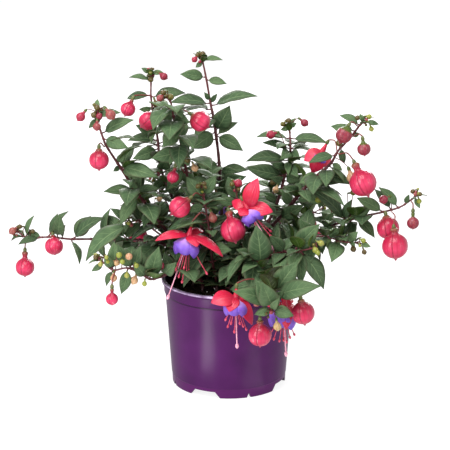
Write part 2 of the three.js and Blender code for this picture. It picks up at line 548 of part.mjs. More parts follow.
function potSolid() {
  const profile = potProfile().map(([r, z]) => new THREE.Vector2(r, z));
  const lathe = new THREE.LatheGeometry(profile, POT.sides);
  lathe.rotateX(Math.PI / 2);
  let pot = solidOfGeometry(lathe);
  const arc = (degrees) => POT.baseRadius * Math.sin(THREE.MathUtils.degToRad(degrees));
  for (let i = 0; i < FEET.count; i += 1) {
    const foot = FEET.first + (i * 360) / FEET.count;
    const wide = arc(FEET.notchHalfWidth);
    const narrow = arc(FEET.notchHalfWidth - FEET.slope);
    const notch = [[-wide, FEET.below], [wide, FEET.below], [wide, 0], [narrow, FEET.notchHeight],
      [-narrow, FEET.notchHeight], [-wide, 0]];
    const veeHalf = arc(FEET.veeHalfWidth);
    const vee = [[-veeHalf, FEET.below], [veeHalf, FEET.below], [0, FEET.veeHeight]];
    pot = pot.subtract(footCutter(foot + 180 / FEET.count, notch)).subtract(footCutter(foot, vee));
    const hole = new THREE.CylinderGeometry(DRAIN.radius, DRAIN.radius, DRAIN.cut, DRAIN.sides);
    hole.rotateX(Math.PI / 2);
    const turn = THREE.MathUtils.degToRad(foot);
    hole.translate(DRAIN.ringRadius * Math.sin(turn), -DRAIN.ringRadius * Math.cos(turn), POT.floorLevel);
    pot = pot.subtract(solidOfGeometry(hole));
  }
  return pot;
}

function soilSolid(roots) {
  const bottom = INSIDE.floorZ + SOIL.clearance;
  const edge = SOIL.level - SOIL.edgeDrop;
  const wallAt = (z) => {
    const t = (z - INSIDE.floorZ) / (INSIDE.collarZ - INSIDE.floorZ);
    return THREE.MathUtils.lerp(INSIDE.floorRadius, INSIDE.collarRadius, t) - SOIL.clearance;
  };
  const level = (radius, z, roughness) => Array.from({ length: SOIL.sides }, (_, s) => {
    const turn = (s / SOIL.sides) * Math.PI * 2;
    return new THREE.Vector3(radius * Math.cos(turn), radius * Math.sin(turn), z + roughness * scatter(s, radius));
  });
  const rings = [level(wallAt(bottom), bottom, 0), level(wallAt(edge), edge, SOIL.roughness)];
  SOIL.rings.slice().reverse().forEach((r) => {
    rings.push(level(r, SOIL.level + SOIL.crown - r / SOIL.crownFall, SOIL.roughness));
  });
  let soil = loft(rings);
  roots.forEach(({ x, y, radius }) => {
    const reach = radius + STEM.holeClearance / Math.cos(Math.PI / SOIL.holeSides);
    const hole = new THREE.CylinderGeometry(reach, reach, SOIL.holeDepth + SOIL.holeMargin, SOIL.holeSides);
    hole.rotateX(Math.PI / 2);
    hole.translate(x, y, SOIL.level + (SOIL.holeMargin - SOIL.holeDepth) / 2);
    soil = soil.subtract(solidOfGeometry(hole));
  });
  return soil;
}

// Stems
function stemPath(stem) {
  const [x, y] = stem.root;
  const bottom = SOIL.level - SOIL.holeDepth + STEM.standOff;
  const knots = [bottom, SOIL.level - 1, SOIL.level + STEM.rise].map((z) => new THREE.Vector3(x, y, z));
  stem.route.forEach(([px, py, back]) => knots.push(seen(px, py, back)));
  const steps = knots.length - 1;
  const spanOf = (t) => Math.min(Math.floor(t * steps), steps - 1);
  const pointAt = (t) => knots[spanOf(t)].clone().lerp(knots[spanOf(t) + 1], t * steps - spanOf(t));
  const tangentAt = (t) => knots[spanOf(t) + 1].clone().sub(knots[spanOf(t)]).normalize();
  const radiusAt = (t) => THREE.MathUtils.lerp(stem.thick[0], stem.thick[1], t);
  return { points: knots, steps, pointAt, tangentAt, radiusAt };
}

// The place on a stem that is seen nearest to (px, py).
function nearestOn(path, px, py) {
  let best = { miss: Infinity };
  const samples = path.steps * 12;
  for (let i = 0; i <= samples; i += 1) {
    const t = i / samples;
    const point = path.pointAt(t);
    const [x, y] = picture(point);
    const miss = Math.hypot(x - px, y - py) + (point.z < SOIL.level ? 1000 : 0);
    if (miss < best.miss) best = { miss, t, point };
  }
  return best;
}

// A young bud that stands off its stem this far hangs down.
const HANGS = { nearer: 3, pull: 0.7 };

// A small bud and its stalk in one skin.
function youngBud([px, py, diameter, nearer, fromX, fromY], path) {
  const foot = nearestOn(path, fromX, fromY).point;
  const size = diameter * VIEW.unit;
  const centre = seen(px, py, foot.y - nearer);
  const axis = centre.clone().sub(foot).normalize();
  if (nearer >= HANGS.nearer) axis.z -= HANGS.pull;
  axis.normalize();
  const at = (distance) => centre.clone().addScaledVector(axis, distance * size);
  const neck = at(-0.55);
  return rod([foot, neck, at(0.02), at(0.6)], [0.6, 0.65, 0.5 * size, 0.15], 4);
}

// Leaves
function bladeOf(S, T, facing, width, short) {
  const base = S.clone().lerp(T, LEAF.petiole);
  const shared = {
    base, tip: T, facing, width, thickness: LEAF.thickness, bow: LEAF.bow, fold: LEAF.fold,
    stations: short ? SMALL_BLADE : FULL_BLADE,
  };
  return { whole: blade({ ...shared, stalk: S }), flat: blade(shared) };
}

const SWINGS = [0, 5, -5, 10, -10, 15, -15, 21, -21, 28, -28, 36, -36];
const ROLLS = [0, 0.35, -0.35, 0.7, -0.7];

// The ways to set one leaf that was read from the view: its tip keeps its place there and swings nearer or
// farther, and the blade rolls a little.
function* readLeafWays([fromX, fromY, tipX, tipY, seenWidth, nearer], path) {
  const S = nearestOn(path, fromX, fromY).point;
  const flatLength = S.distanceTo(seen(tipX, tipY, S.y));
  const width = Math.max(seenWidth * VIEW.unit, flatLength * LEAF.slimmest);
  const wanted = width / LEAF.broadest;
  const extra = wanted > flatLength ? Math.sqrt(wanted ** 2 - flatLength ** 2) : 0;
  for (const roll of ROLLS) {
    for (const swing of SWINGS) {
      const T = seen(tipX, tipY, S.y - nearer - extra - swing);
      const along = T.clone().sub(S).normalize();
      const toEye = eye.clone().sub(S);
      const open = toEye.addScaledVector(along, -toEye.dot(along)).normalize();
      const tilt = Math.acos(Math.min(1, (seenWidth * VIEW.unit) / width));
      const up = open.clone().applyAxisAngle(along, tilt);
      const down = open.clone().applyAxisAngle(along, -tilt);
      const facing = (up.z >= down.z ? up : down).applyAxisAngle(along, roll);
      yield { S, T, facing, width, short: flatLength < LEAF.detailed };
    }
  }
}

const TURNS = [0, 0.4, -0.4, 0.8, -0.8, 1.2, -1.2, 1.6, -1.6];
const SHRINKS = [1, 0.8, 0.62];

// The ways to set one leaf of a pair that the rule places at `t` on a stem.
function* ruleLeafWays(t, pair, which, count, path) {
  const S = path.pointAt(t);
  const tangent = path.tangentAt(t);
  const side = squareTo(tangent);
  const turn = pair * FILL.quarterTurn + which * Math.PI + 0.5 * scatter(count, pair);
  for (const shrink of SHRINKS) {
    for (const swing of TURNS) {
      const out = side.clone().applyAxisAngle(tangent, turn + swing);
      const length = FILL.length * shrink * (1 + 0.16 * scatter(count + 7, pair * 2 + which));
      const T = S.clone().addScaledVector(out, length).addScaledVector(tangent, length * FILL.lean);
      T.z -= length * FILL.droop;
      const along = T.clone().sub(S).normalize();
      const facing = UP.clone().addScaledVector(along, -UP.dot(along)).addScaledVector(out, 0.3).normalize();
      yield { S, T, facing, width: length * FILL.widthRatio, short: true };
    }
  }
}

// Sets the first way that keeps clear of all that is placed; a leaf with no such way is left off.
function setLeaf(ways, name, blades, check) {
  for (const way of ways) {
    if (check && !check(way)) continue;
    const { whole, flat } = bladeOf(way.S, way.T, way.facing, way.width, way.short);
    const apart = blades.every((other) => flat.minGap(other, 2 * GAP.blades) >= GAP.blades);
    if (apart && isClear(whole, name, GAP.nodes)) {
      blades.push(flat);
      return remember(name, whole);
    }
  }
  return null;
}

function inCrown({ S, T }) {
  const mid = S.clone().lerp(T, 0.6);
  return insideCrown(T) && insideCrown(mid);
}

function ruleStations(stem, path) {
  const length = path.points.slice(1).reduce((sum, point, i) => sum + point.distanceTo(path.points[i]), 0);
  const [from, to] = stem.fill;
  const pairs = Math.floor(((to - from) * length) / FILL.spacing);
  return Array.from({ length: pairs }, (_, i) => from + ((i + 0.5) / pairs) * (to - from));
}

// Buds and blooms
// The stalk of a hanging bud or bloom, seated just off the stem that carries it.
function pedicel(path, { from, via }, end) {
  const foot = nearestOn(path, from[0], from[1]);
  const bend = seen(...via);
  const tangent = path.tangentAt(foot.t);
  const out = bend.clone().sub(foot.point);
  out.addScaledVector(tangent, -out.dot(tangent)).normalize();
  const start = foot.point.clone().addScaledVector(out, path.radiusAt(foot.t) + GAP.seat);
  const points = [start, start.clone().addScaledVector(out, 1.2), bend, end];
  return rod(points, points.map(() => BUD.pedicel), BUD.pedicelSides);
}

function budSolids(bud, path) {
  const neck = seen(...bud.neck);
  const body = seen(...bud.body);
  const size = bud.diameter * VIEW.unit;
  const axis = body.clone().sub(neck);
  const drop = axis.length();
  axis.divideScalar(drop);
  const stations = [
    [-BUD.ovaryLength, BUD.ovaryTop], [-BUD.ovaryLength / 2, BUD.ovaryRadius],
    [Math.max(drop - 0.48 * size, 1), BUD.neckRatio * size], [drop - 0.31 * size, 0.4 * size],
    [drop + 0.02 * size, 0.5 * size], [drop + 0.34 * size, 0.37 * size], [drop + 0.57 * size, 0.03 * size],
  ];
  const top = neck.clone().addScaledVector(axis, BUD.pedicel - BUD.ovaryLength);
  return [turned(neck, axis, stations, BUD.sides), pedicel(path, bud, top)];
}

// A bloom's red parts; `grown` swells them so that the corolla can be cut to clear them.
function bloomSolids(bloom, path, grown) {
  const mouth = seen(...bloom.mouth);
  const aim = seen(...bloom.aim);
  const axis = aim.clone().sub(mouth).normalize();
  const r = BLOOM.tubeRadius;
  const ovary = BLOOM.tubeLength + BLOOM.ovaryLength;
  const stations = [[-ovary, BUD.ovaryTop], [-ovary + BLOOM.ovaryLength / 2, BLOOM.ovaryRadius],
    [-BLOOM.tubeLength, BUD.ovaryRadius], [-BLOOM.tubeLength / 2, 0.8 * r], [0, r]];
  const top = mouth.clone().addScaledVector(axis, BUD.pedicel - ovary);
  const back = mouth.clone().addScaledVector(axis, -1);
  const skin = stations.map(([distance, radius]) => [distance + grown * Math.sign(distance + 1), radius + grown]);
  const solids = [turned(mouth, axis, skin, BLOOM.tubeSides)];
  bloom.sepals.forEach(([px, py, width, nearer]) => {
    const tip = seen(px, py, bloom.mouth[2] - nearer);
    const spread = tip.clone().sub(mouth).addScaledVector(axis, -tip.clone().sub(mouth).dot(axis)).normalize();
    const facing = spread.multiplyScalar(0.35).sub(axis).addScaledVector(OUTWARD, bloom.show);
    const along = tip.clone().sub(back).normalize();
    const sepal = blade({
      stalk: null, base: back.clone().addScaledVector(along, -grown), tip: tip.addScaledVector(along, grown),
      facing, width: width * VIEW.unit + grown * 2, fold: -LEAF.fold,
      thickness: BLOOM.sepalThickness + grown * 2, bow: BLOOM.sepalBow, stations: SEPAL_BLADE,
    });
    solids.push(grown ? sepal.hull() : sepal);
  });
  const side = squareTo(axis);
  const threads = [bloom.style, ...bloom.stamens];
  threads.forEach(([px, py, nearer], i) => {
    const end = seen(px, py, bloom.mouth[2] - nearer);
    const turn = (i / threads.length) * Math.PI * 2;
    const start = back.clone().addScaledVector(side.clone().applyAxisAngle(axis, turn), i ? BLOOM.spread : 0);
    const bend = start.clone().lerp(end, 0.5).addScaledVector(axis, end.distanceTo(start) * 0.08);
    const along = end.clone().sub(bend).normalize();
    const [thin, knob] = [BLOOM.filament + grown, (i ? BLOOM.anther : BLOOM.stigma) + grown];
    const reach = (distance) => end.clone().addScaledVector(along, distance);
    const points = i ? [start, reach(-2.2), end, reach(1.6)] : [start, bend, reach(-2.6), end, reach(1.8)];
    solids.push(rod(points, points.map((_, k) => (k === points.length - 2 ? knob : thin)), 3));
  });
  if (!grown) {
    solids.push(pedicel(path, bloom, top));
  }
  return solids;
}

// Overlapping petals in a cup: each petal's edge stands proud of the next one's.
function corollaSolid(bloom) {
  const mouth = seen(...bloom.mouth);
  const aim = seen(...bloom.aim);
  const axis = aim.clone().sub(mouth).normalize();
  const side = squareTo(axis);
  const count = COROLLA.petals * COROLLA.sidesPerPetal;
  const size = bloom.reach;
  const long = COROLLA.length * size;
  const outer = [[0.03, 2.6], [0.5, 11.6], [1, 9.8]];
  const inner = outer.map(([t, r]) => [t + 0.03, r - COROLLA.wall]).reverse();
  const profile = [...outer, ...inner];
  const rings = profile.map(([t, radius]) => {
    const radii = Array.from({ length: count }, (_, i) => {
      const lap = ((i % COROLLA.sidesPerPetal) / COROLLA.sidesPerPetal) * COROLLA.overlap * (t > 0.1 ? 1 : 0);
      return radius * (t > 0.1 ? size : 1) * (1 - lap);
    });
    const centre = mouth.clone().addScaledVector(axis, BLOOM.seat + t * long);
    return ring(centre, axis, side, radii).map((p, i) => {
      const petal = ((i % COROLLA.sidesPerPetal) + 0.5) / COROLLA.sidesPerPetal;
      return p.addScaledVector(axis, t > 0.7 ? COROLLA.wave * Math.sin(petal * Math.PI) : 0);
    });
  });
  return closedLoft(rings);
}

// A skin over rings of points that closes on its first ring, with a hole through its middle.
function closedLoft(rings) {
  const sides = rings[0].length;
  const positions = rings.flat().flatMap((p) => [p.x, p.y, p.z]);
  const indices = [];
  rings.forEach((_, r) => {
    const next = ((r + 1) % rings.length) * sides;
    for (let s = 0; s < sides; s += 1) {
      const [a, b] = [r * sides + s, r * sides + ((s + 1) % sides)];
      const [c, d] = [next + s, next + ((s + 1) % sides)];
      indices.push(a, b, d, a, d, c);
    }
  });
  return solidOf(positions, indices);
}

// Assembly
const model = new THREE.Group();

function addNode(name, solid, colour, roughness) {
  const material = new THREE.MeshStandardMaterial({ color: colour, roughness, metalness: 0 });
  const mesh = new THREE.Mesh(geometryOf(solid), material);
  mesh.name = name;
  model.add(mesh);
}

const paths = new Map(STEMS.map((stem) => [stem.name, stemPath(stem)]));
const roots = STEMS.map((stem) => ({ x: stem.root[0], y: stem.root[1], radius: stem.thick[0] }));
addNode('pot', remember('pot', potSolid()), COLOURS.pot, 0.4);
addNode('soil', remember('soil', soilSolid(roots)), COLOURS.soil, 0.95);

BLOOMS.forEach((bloom) => {
  const path = paths.get(bloom.stem);
  const swollen = wasm.Manifold.union(bloomSolids(bloom, path, BLOOM.seat));
  const corolla = fuse([corollaSolid(bloom).subtract(swollen)]);
  addNode(`bloom_${bloom.name}`, remember(`bloom_${bloom.name}`, fuse(bloomSolids(bloom, path, 0))), COLOURS.bloom, 0.5);
  addNode(`corolla_${bloom.name}`, remember(`corolla_${bloom.name}`, corolla), COLOURS.corolla, 0.5);
});
BUDS.forEach((bud) => {
  addNode(bud.name, remember(bud.name, fuse(budSolids(bud, paths.get(bud.stem)))), COLOURS.bud, 0.4);
});

const grown = new Map();
STEMS.forEach((stem) => {
  const path = paths.get(stem.name);
  const rodRadii = path.points.map((_, i) => path.radiusAt(i / path.steps));
  const solids = [remember(stem.name, rod(path.points, rodRadii, STEM.sides))];
  stem.buds.forEach((bud) => solids.push(remember(stem.name, youngBud(bud, path))));
  grown.set(stem.name, { solids, blades: [] });
});
STEMS.forEach((stem) => {
  const { solids, blades } = grown.get(stem.name);
  stem.leaves.forEach((leaf) => {
    const set = setLeaf(readLeafWays(leaf, paths.get(stem.name)), stem.name, blades);
    if (set) solids.push(set);
  });
});
STEMS.forEach((stem, count) => {
  const { solids, blades } = grown.get(stem.name);
  const path = paths.get(stem.name);
  ruleStations(stem, path).forEach((t, pair) => {
    [0, 1].forEach((which) => {
      const set = setLeaf(ruleLeafWays(t, pair, which, count, path), stem.name, blades, inCrown);
      if (set) solids.push(set);
    });
  });
  addNode(stem.name, fuse(solids), COLOURS.leafyStem, 0.6);
});

// The origin is the middle of the model's box, on the ground.
const box = new THREE.Box3().setFromObject(model);
const middle = box.getCenter(new THREE.Vector3());
model.position.set(-middle.x, -middle.y, -box.min.z);

export default model;
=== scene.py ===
"""A fuchsia in flower in a round plastic nursery pot.

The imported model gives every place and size. Each class below dresses one sub-assembly of it: the pot, the
compost, the leafy stems, the hanging buds and the open blooms. Sizes are in millimetres until a mesh is made.
"""

import logging
import math
import random
from collections.abc import Iterable, Sequence
from dataclasses import dataclass, field
from enum import Enum

import bpy
import numpy as np
from mathutils import Euler, Matrix, Vector

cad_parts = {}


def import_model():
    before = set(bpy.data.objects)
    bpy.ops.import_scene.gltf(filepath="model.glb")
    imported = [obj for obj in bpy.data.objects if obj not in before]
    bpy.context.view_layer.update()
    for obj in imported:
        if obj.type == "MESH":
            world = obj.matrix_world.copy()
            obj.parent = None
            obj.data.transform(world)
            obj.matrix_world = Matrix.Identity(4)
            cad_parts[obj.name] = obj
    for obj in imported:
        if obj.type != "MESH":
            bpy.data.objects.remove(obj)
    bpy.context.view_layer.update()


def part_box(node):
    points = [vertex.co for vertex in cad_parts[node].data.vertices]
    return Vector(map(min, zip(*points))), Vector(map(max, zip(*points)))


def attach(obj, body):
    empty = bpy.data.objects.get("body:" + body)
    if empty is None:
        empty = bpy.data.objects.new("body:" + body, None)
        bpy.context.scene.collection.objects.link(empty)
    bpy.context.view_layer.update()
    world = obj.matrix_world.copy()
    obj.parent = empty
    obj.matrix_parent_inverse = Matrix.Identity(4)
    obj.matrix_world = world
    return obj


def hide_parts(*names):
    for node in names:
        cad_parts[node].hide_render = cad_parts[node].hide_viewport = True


LOG = logging.getLogger("fuchsia")
MM = 0.001
UP = np.array((0.0, 0.0, 1.0))
EYE = (-3.88, -1450.0, 571.0)  # Where the plant is seen from, in millimetres from the pot's axis on the ground.
SIDE_SHARE = 0.32  # How far out on a blade its side places lie, as a share of its width.
WOOD_REACH, LEAF_REACH, TINY_REACH, BUD_GAP = 2.2, 3.0, 2.0, 2.0  # The room that each keeps round it.
ASKEW = (0.3, 0.9, 0.1)  # A direction that no shoot takes, to measure turns from.
GOLDEN_TURN = 2.4  # The turn in radians from one bud or stamen to the next.
Row = tuple[float, ...]
Pairs = tuple[tuple[float, float], ...]
Tree = bpy.types.NodeTree
Node = bpy.types.Node
Socket = bpy.types.NodeSocket
Material = bpy.types.Material
Piece = bpy.types.Object


def linear(hex_colour: str) -> tuple[float, float, float, float]:
    """Turn an sRGB hex colour into linear RGBA.

    Args:
        hex_colour: six hex digits, with or without a leading hash.

    Returns:
        The colour that Blender's sockets take.
    """
    digits = hex_colour.lstrip("#")
    parts = [int(digits[i : i + 2], 16) / 255 for i in (0, 2, 4)]
    return (*(c / 12.92 if c <= 0.04045 else ((c + 0.055) / 1.055) ** 2.4 for c in parts), 1.0)


def unit(vector: np.ndarray) -> np.ndarray:
    """Return the vector at length 1."""
    return vector / np.linalg.norm(vector)


def add_node(tree: Tree, kind: str, settings: dict | None = None, **inputs: object) -> Node:
    """Add a node, set its properties and fill or link its inputs.

    Args:
        tree: the tree that gets the node.
        kind: the node's type name.
        settings: properties of the node itself; the key "at" maps input numbers to values or sockets.
        inputs: values or output sockets by input name, with underscores for spaces.

    Returns:
        The new node.
    """
    node = tree.nodes.new(kind)
    numbered: dict = {}
    for key, value in (settings or {}).items():
        if key == "at":
            numbered = value
        else:
            setattr(node, key, value)
    for key, value in [*inputs.items(), *numbered.items()]:
        socket = node.inputs[key if isinstance(key, int) else key.replace("_", " ")]
        if isinstance(value, Socket):
            tree.links.new(value, socket)
        else:
            socket.default_value = value
    return node


def ramp(tree: Tree, fac: Socket, stops: Sequence[tuple[float, str]]) -> Socket:
    """Add a colour ramp.

    Args:
        tree: the tree that gets the ramp.
        fac: what drives it.
        stops: position and sRGB hex colour of each stop.

    Returns:
        The ramp's colour output.
    """
    node = add_node(tree, "ShaderNodeValToRGB", Fac=fac)
    elements = node.color_ramp.elements
    while len(elements) < len(stops):
        elements.new(1.0)
    for element, (position, colour) in zip(elements, stops):
        element.position = position
        element.color = linear(colour)
    return node.outputs["Color"]


def blend(tree: Tree, fac: object, first: object, second: object) -> Socket:
    """Mix two colours, each a socket or an sRGB hex colour.

    Args:
        tree: the tree that gets the mix.
        fac: the share of the second colour.
        first: the first colour.
        second: the second colour.

    Returns:
        The mixed colour.
    """
    a, b = (linear(c) if isinstance(c, str) else c for c in (first, second))
    node = add_node(tree, "ShaderNodeMix", {"data_type": "RGBA", "at": {0: fac, 6: a, 7: b}})
    return node.outputs[2]


def maths(tree: Tree, operation: str, *values: object, clamp: bool = False) -> Socket:
    """Add a Math node over values or sockets and return its output."""
    node = add_node(tree, "ShaderNodeMath", {"operation": operation, "use_clamp": clamp, "at": dict(enumerate(values))})
    return node.outputs[0]


def speckle(tree: Tree, size_mm: float, detail: float = 3.0, roughness: float = 0.55) -> Socket:
    """Add noise on Object coordinates.

    Args:
        tree: the tree that gets the noise.
        size_mm: how large its features are.
        detail: how many finer layers it has.
        roughness: how strong they are.

    Returns:
        The noise, from 0 to 1.
    """
    place = add_node(tree, "ShaderNodeTexCoord").outputs["Object"]
    noise = add_node(tree, "ShaderNodeTexNoise", Vector=place, Scale=1 / (size_mm * MM), Detail=detail,
                     Roughness=roughness)
    return noise.outputs["Fac"]


def uv_axes(tree: Tree) -> tuple[Socket, Socket]:
    """Read the piece's UV layout.

    Args:
        tree: the tree that gets the nodes.

    Returns:
        Its first and its second axis.
    """
    layout = add_node(tree, "ShaderNodeUVMap", {"uv_map": "UVMap"}).outputs[0]
    split = add_node(tree, "ShaderNodeSeparateXYZ", Vector=layout)
    return split.outputs["X"], split.outputs["Y"]


def tone_of(tree: Tree) -> Socket:
    """Return the tone that the mesh carries from point to point."""
    return add_node(tree, "ShaderNodeAttribute", {"attribute_name": "tone"}).outputs["Fac"]


def lines(tree: Tree, value: Socket, count: float, start: float = 0.0) -> Socket:
    """Draw soft lines where even stretches of a value meet.

    Args:
        tree: the tree that gets the nodes.
        value: what is cut into stretches, from 0 to 1.
        count: how many stretches there are.
        start: where each line starts to rise; narrower towards 1.

    Returns:
        The lines' height, from 0 to 1.
    """
    wave = maths(tree, "FRACT", maths(tree, "MULTIPLY", value, float(count)))
    ridge = maths(tree, "ABSOLUTE", maths(tree, "MULTIPLY_ADD", wave, 2.0, -1.0))
    return maths(tree, "MULTIPLY", maths(tree, "SUBTRACT", ridge, start), 1 / (1 - start), clamp=True)


@dataclass(frozen=True)
class Finish:
    """One material: its name, the shader values that are the same all over it, its grain and its relief."""

    name: str
    roughness: float
    ior: float = 1.45
    coat: float = 0.0
    coat_roughness: float = 0.25
    soft_mm: float = 0.0
    soft_share: float = 0.2
    soft_spread: tuple[float, float, float] = (1.0, 0.4, 0.3)
    specular: float = 0.5
    glint: str = "#ffffff"
    grain_mm: float = 2.0
    relief_mm: float = 0.1

    def build(self) -> Material:
        """Make the material, with this finish's own colour and relief nodes.

        Returns:
            The new material.
        """
        material = bpy.data.materials.new(self.name)
        material.use_nodes = True
        tree = material.node_tree
        shader = tree.nodes["Principled BSDF"]
        even = {"Roughness": self.roughness, "IOR": self.ior, "Specular IOR Level": self.specular,
                "Coat Weight": self.coat, "Coat Roughness": self.coat_roughness, "Specular Tint": linear(self.glint)}
        if self.soft_mm:
            even |= {"Subsurface Weight": self.soft_share, "Subsurface Scale": self.soft_mm * MM,
                     "Subsurface Radius": self.soft_spread}
        for key, value in even.items():
            shader.inputs[key].default_value = value
        self.dress(tree, shader)
        return material

    def dress(self, tree: Tree, shader: Node) -> None:
        """Add the nodes that draw this finish.

        Args:
            tree: the material's node tree.
            shader: its principled shader.
        """
        raise NotImplementedError

    @staticmethod
    def paint(tree: Tree, shader: Node, colour: Socket) -> None:
        """Let a colour feed the shader."""
        tree.links.new(colour, shader.inputs["Base Color"])

    def relief(self, tree: Tree, shader: Node, height: Socket) -> None:
        """Raise the surface by height times the finish's relief."""
        bump = add_node(tree, "ShaderNodeBump", Height=height, Distance=self.relief_mm * MM, Strength=1.0)
        tree.links.new(bump.outputs[0], shader.inputs["Normal"])


@dataclass(frozen=True)
class LeafFinish(Finish):
    """A living leaf blade: a waxy satin skin over soft tissue, quilted between its veins."""

    grain_mm: float = 7.0
    relief_mm: float = 0.35
    deep: str = "#1a280c"
    middle: str = "#2d4617"
    bright: str = "#4e6a28"
    vein: str = "#7c9656"
    edge: str = "#3a1d20"
    edge_share: float = 0.55
    vein_share: float = 0.7
    veins_across: float = 6.5
    vein_slant: float = 0.26
    vein_start: float = 0.8
    midrib_narrowness: float = 13.0

    def dress(self, tree: Tree, shader: Node) -> None:
        """Draw midrib, side veins, mottling, and the purple-brown margin.

        Args:
            tree: the material's node tree.
            shader: the shader that it feeds.
        """
        along, across = uv_axes(tree)
        aside = maths(tree, "ABSOLUTE", maths(tree, "MULTIPLY_ADD", across, 2.0, -1.0))
        slant = maths(tree, "MULTIPLY_ADD", aside, -self.vein_slant, along)
        crest = maths(tree, "SMOOTH_MIN", lines(tree, slant, self.veins_across, self.vein_start), 1.0, 0.1)
        side_vein = maths(tree, "MULTIPLY", crest, maths(tree, "SUBTRACT", 1.0, maths(tree, "POWER", aside, 3.0)))
        midrib = maths(tree, "SUBTRACT", 1.0, maths(tree, "MULTIPLY", aside, self.midrib_narrowness), clamp=True)
        veins = maths(tree, "MAXIMUM", maths(tree, "MULTIPLY", side_vein, 0.5, clamp=True), midrib)
        mottle = speckle(tree, self.grain_mm)
        mix = maths(tree, "ADD", maths(tree, "MULTIPLY", mottle, 0.55), maths(tree, "MULTIPLY", tone_of(tree), 0.5))
        green = ramp(tree, mix, ((0.22, self.deep), (0.5, self.middle), (0.85, self.bright)))
        with_veins = blend(tree, maths(tree, "MULTIPLY", veins, self.vein_share), green, self.vein)
        margin = maths(tree, "MULTIPLY", maths(tree, "POWER", aside, 7.0), self.edge_share)
        self.paint(tree, shader, blend(tree, margin, with_veins, self.edge))
        self.relief(tree, shader, maths(tree, "SUBTRACT", maths(tree, "MULTIPLY", mottle, 0.3), veins))


@dataclass(frozen=True)
class BarkFinish(Finish):
    """Young woody shoot: thin red-brown bark, smooth, a little dusty, redder where it is younger."""

    grain_mm: float = 1.4
    relief_mm: float = 0.2
    old: str = "#2a1414"
    ripe: str = "#4c1f24"
    young: str = "#6e3436"

    def dress(self, tree: Tree, shader: Node) -> None:
        """Draw the shift from old to young wood and its fine streaks.

        Args:
            tree: the material's node tree.
            shader: the shader that it feeds.
        """
        streak = speckle(tree, self.grain_mm)
        mix = maths(tree, "ADD", maths(tree, "MULTIPLY", tone_of(tree), 0.75), maths(tree, "MULTIPLY", streak, 0.35))
        self.paint(tree, shader, ramp(tree, mix, ((0.15, self.old), (0.55, self.ripe), (0.95, self.young))))
        self.relief(tree, shader, streak)


@dataclass(frozen=True)
class YoungBudFinish(Finish):
    """Unripe buds: a thin waxy skin that turns from olive through peach to pink as it ripens."""

    stages: tuple[tuple[float, str], ...] = (
        (0.0, "#54481f"), (0.25, "#8a9638"), (0.5, "#c8a078"), (0.75, "#86293a"), (1.0, "#a02840"),
    )
    ovary: str = "#4c5a20"
    ovary_share: float = 0.289
    ovary_edge: float = 9.0
    rib: str = "#54182a"
    rib_share: float = 0.45
    ribs: int = 8

    def dress(self, tree: Tree, shader: Node) -> None:
        """Draw the ripeness of each bud, its darker ribs and the green ovary at its stalk.

        Args:
            tree: the material's node tree.
            shader: the shader that it feeds.
        """
        turn, along = uv_axes(tree)
        skin = speckle(tree, self.grain_mm)
        shifted = maths(tree, "ADD", tone_of(tree), maths(tree, "MULTIPLY_ADD", skin, 0.16, -0.08))
        rib = maths(tree, "MULTIPLY", maths(tree, "POWER", lines(tree, turn, self.ribs), 3.0), self.rib_share)
        ribbed = blend(tree, rib, ramp(tree, shifted, self.stages), self.rib)
        stem_end = maths(tree, "MULTIPLY_ADD", along, -self.ovary_edge, self.ovary_edge * self.ovary_share, clamp=True)
        self.paint(tree, shader, blend(tree, stem_end, ribbed, self.ovary))
        self.relief(tree, shader, skin)


@dataclass(frozen=True)
class BudSkin(Finish):
    """Ripe bud: four sepals pressed edge to edge, a taut waxy skin with darker seams and long ribs."""

    grain_mm: float = 2.5
    relief_mm: float = 0.24
    stem_end: str = "#7c5a3a"
    neck: str = "#962034"
    flank: str = "#b82046"
    heart: str = "#d23a60"
    seam: str = "#6e0f2a"
    point: str = "#a8485c"
    seams: int = 4
    seam_share: float = 0.6
    ribs: int = 16
    rib_share: float = 0.26

    def dress(self, tree: Tree, shader: Node) -> None:
        """Draw the colour from neck to point, the seams, and the fine ribs of the sepals.

        Args:
            tree: the material's node tree.
            shader: the shader that it feeds.
        """
        turn, along = uv_axes(tree)
        body = ramp(tree, along, ((0.0, self.stem_end), (0.14, self.neck), (0.38, self.flank), (0.62, self.heart),
                                  (0.84, self.flank), (1.0, self.point)))
        seam, ribs = lines(tree, turn, self.seams, 0.9), lines(tree, turn, self.ribs, 0.62)
        base = blend(tree, maths(tree, "MULTIPLY", seam, self.seam_share), body, self.seam)
        ribbed = blend(tree, maths(tree, "MULTIPLY", ribs, self.rib_share), base, self.seam)
        shade = maths(tree, "MULTIPLY", speckle(tree, self.grain_mm), 0.2)
        self.paint(tree, shader, blend(tree, shade, ribbed, self.seam))
        self.relief(tree, shader, maths(tree, "MULTIPLY_ADD", ribs, -0.4, maths(tree, "MULTIPLY", seam, -1.0)))


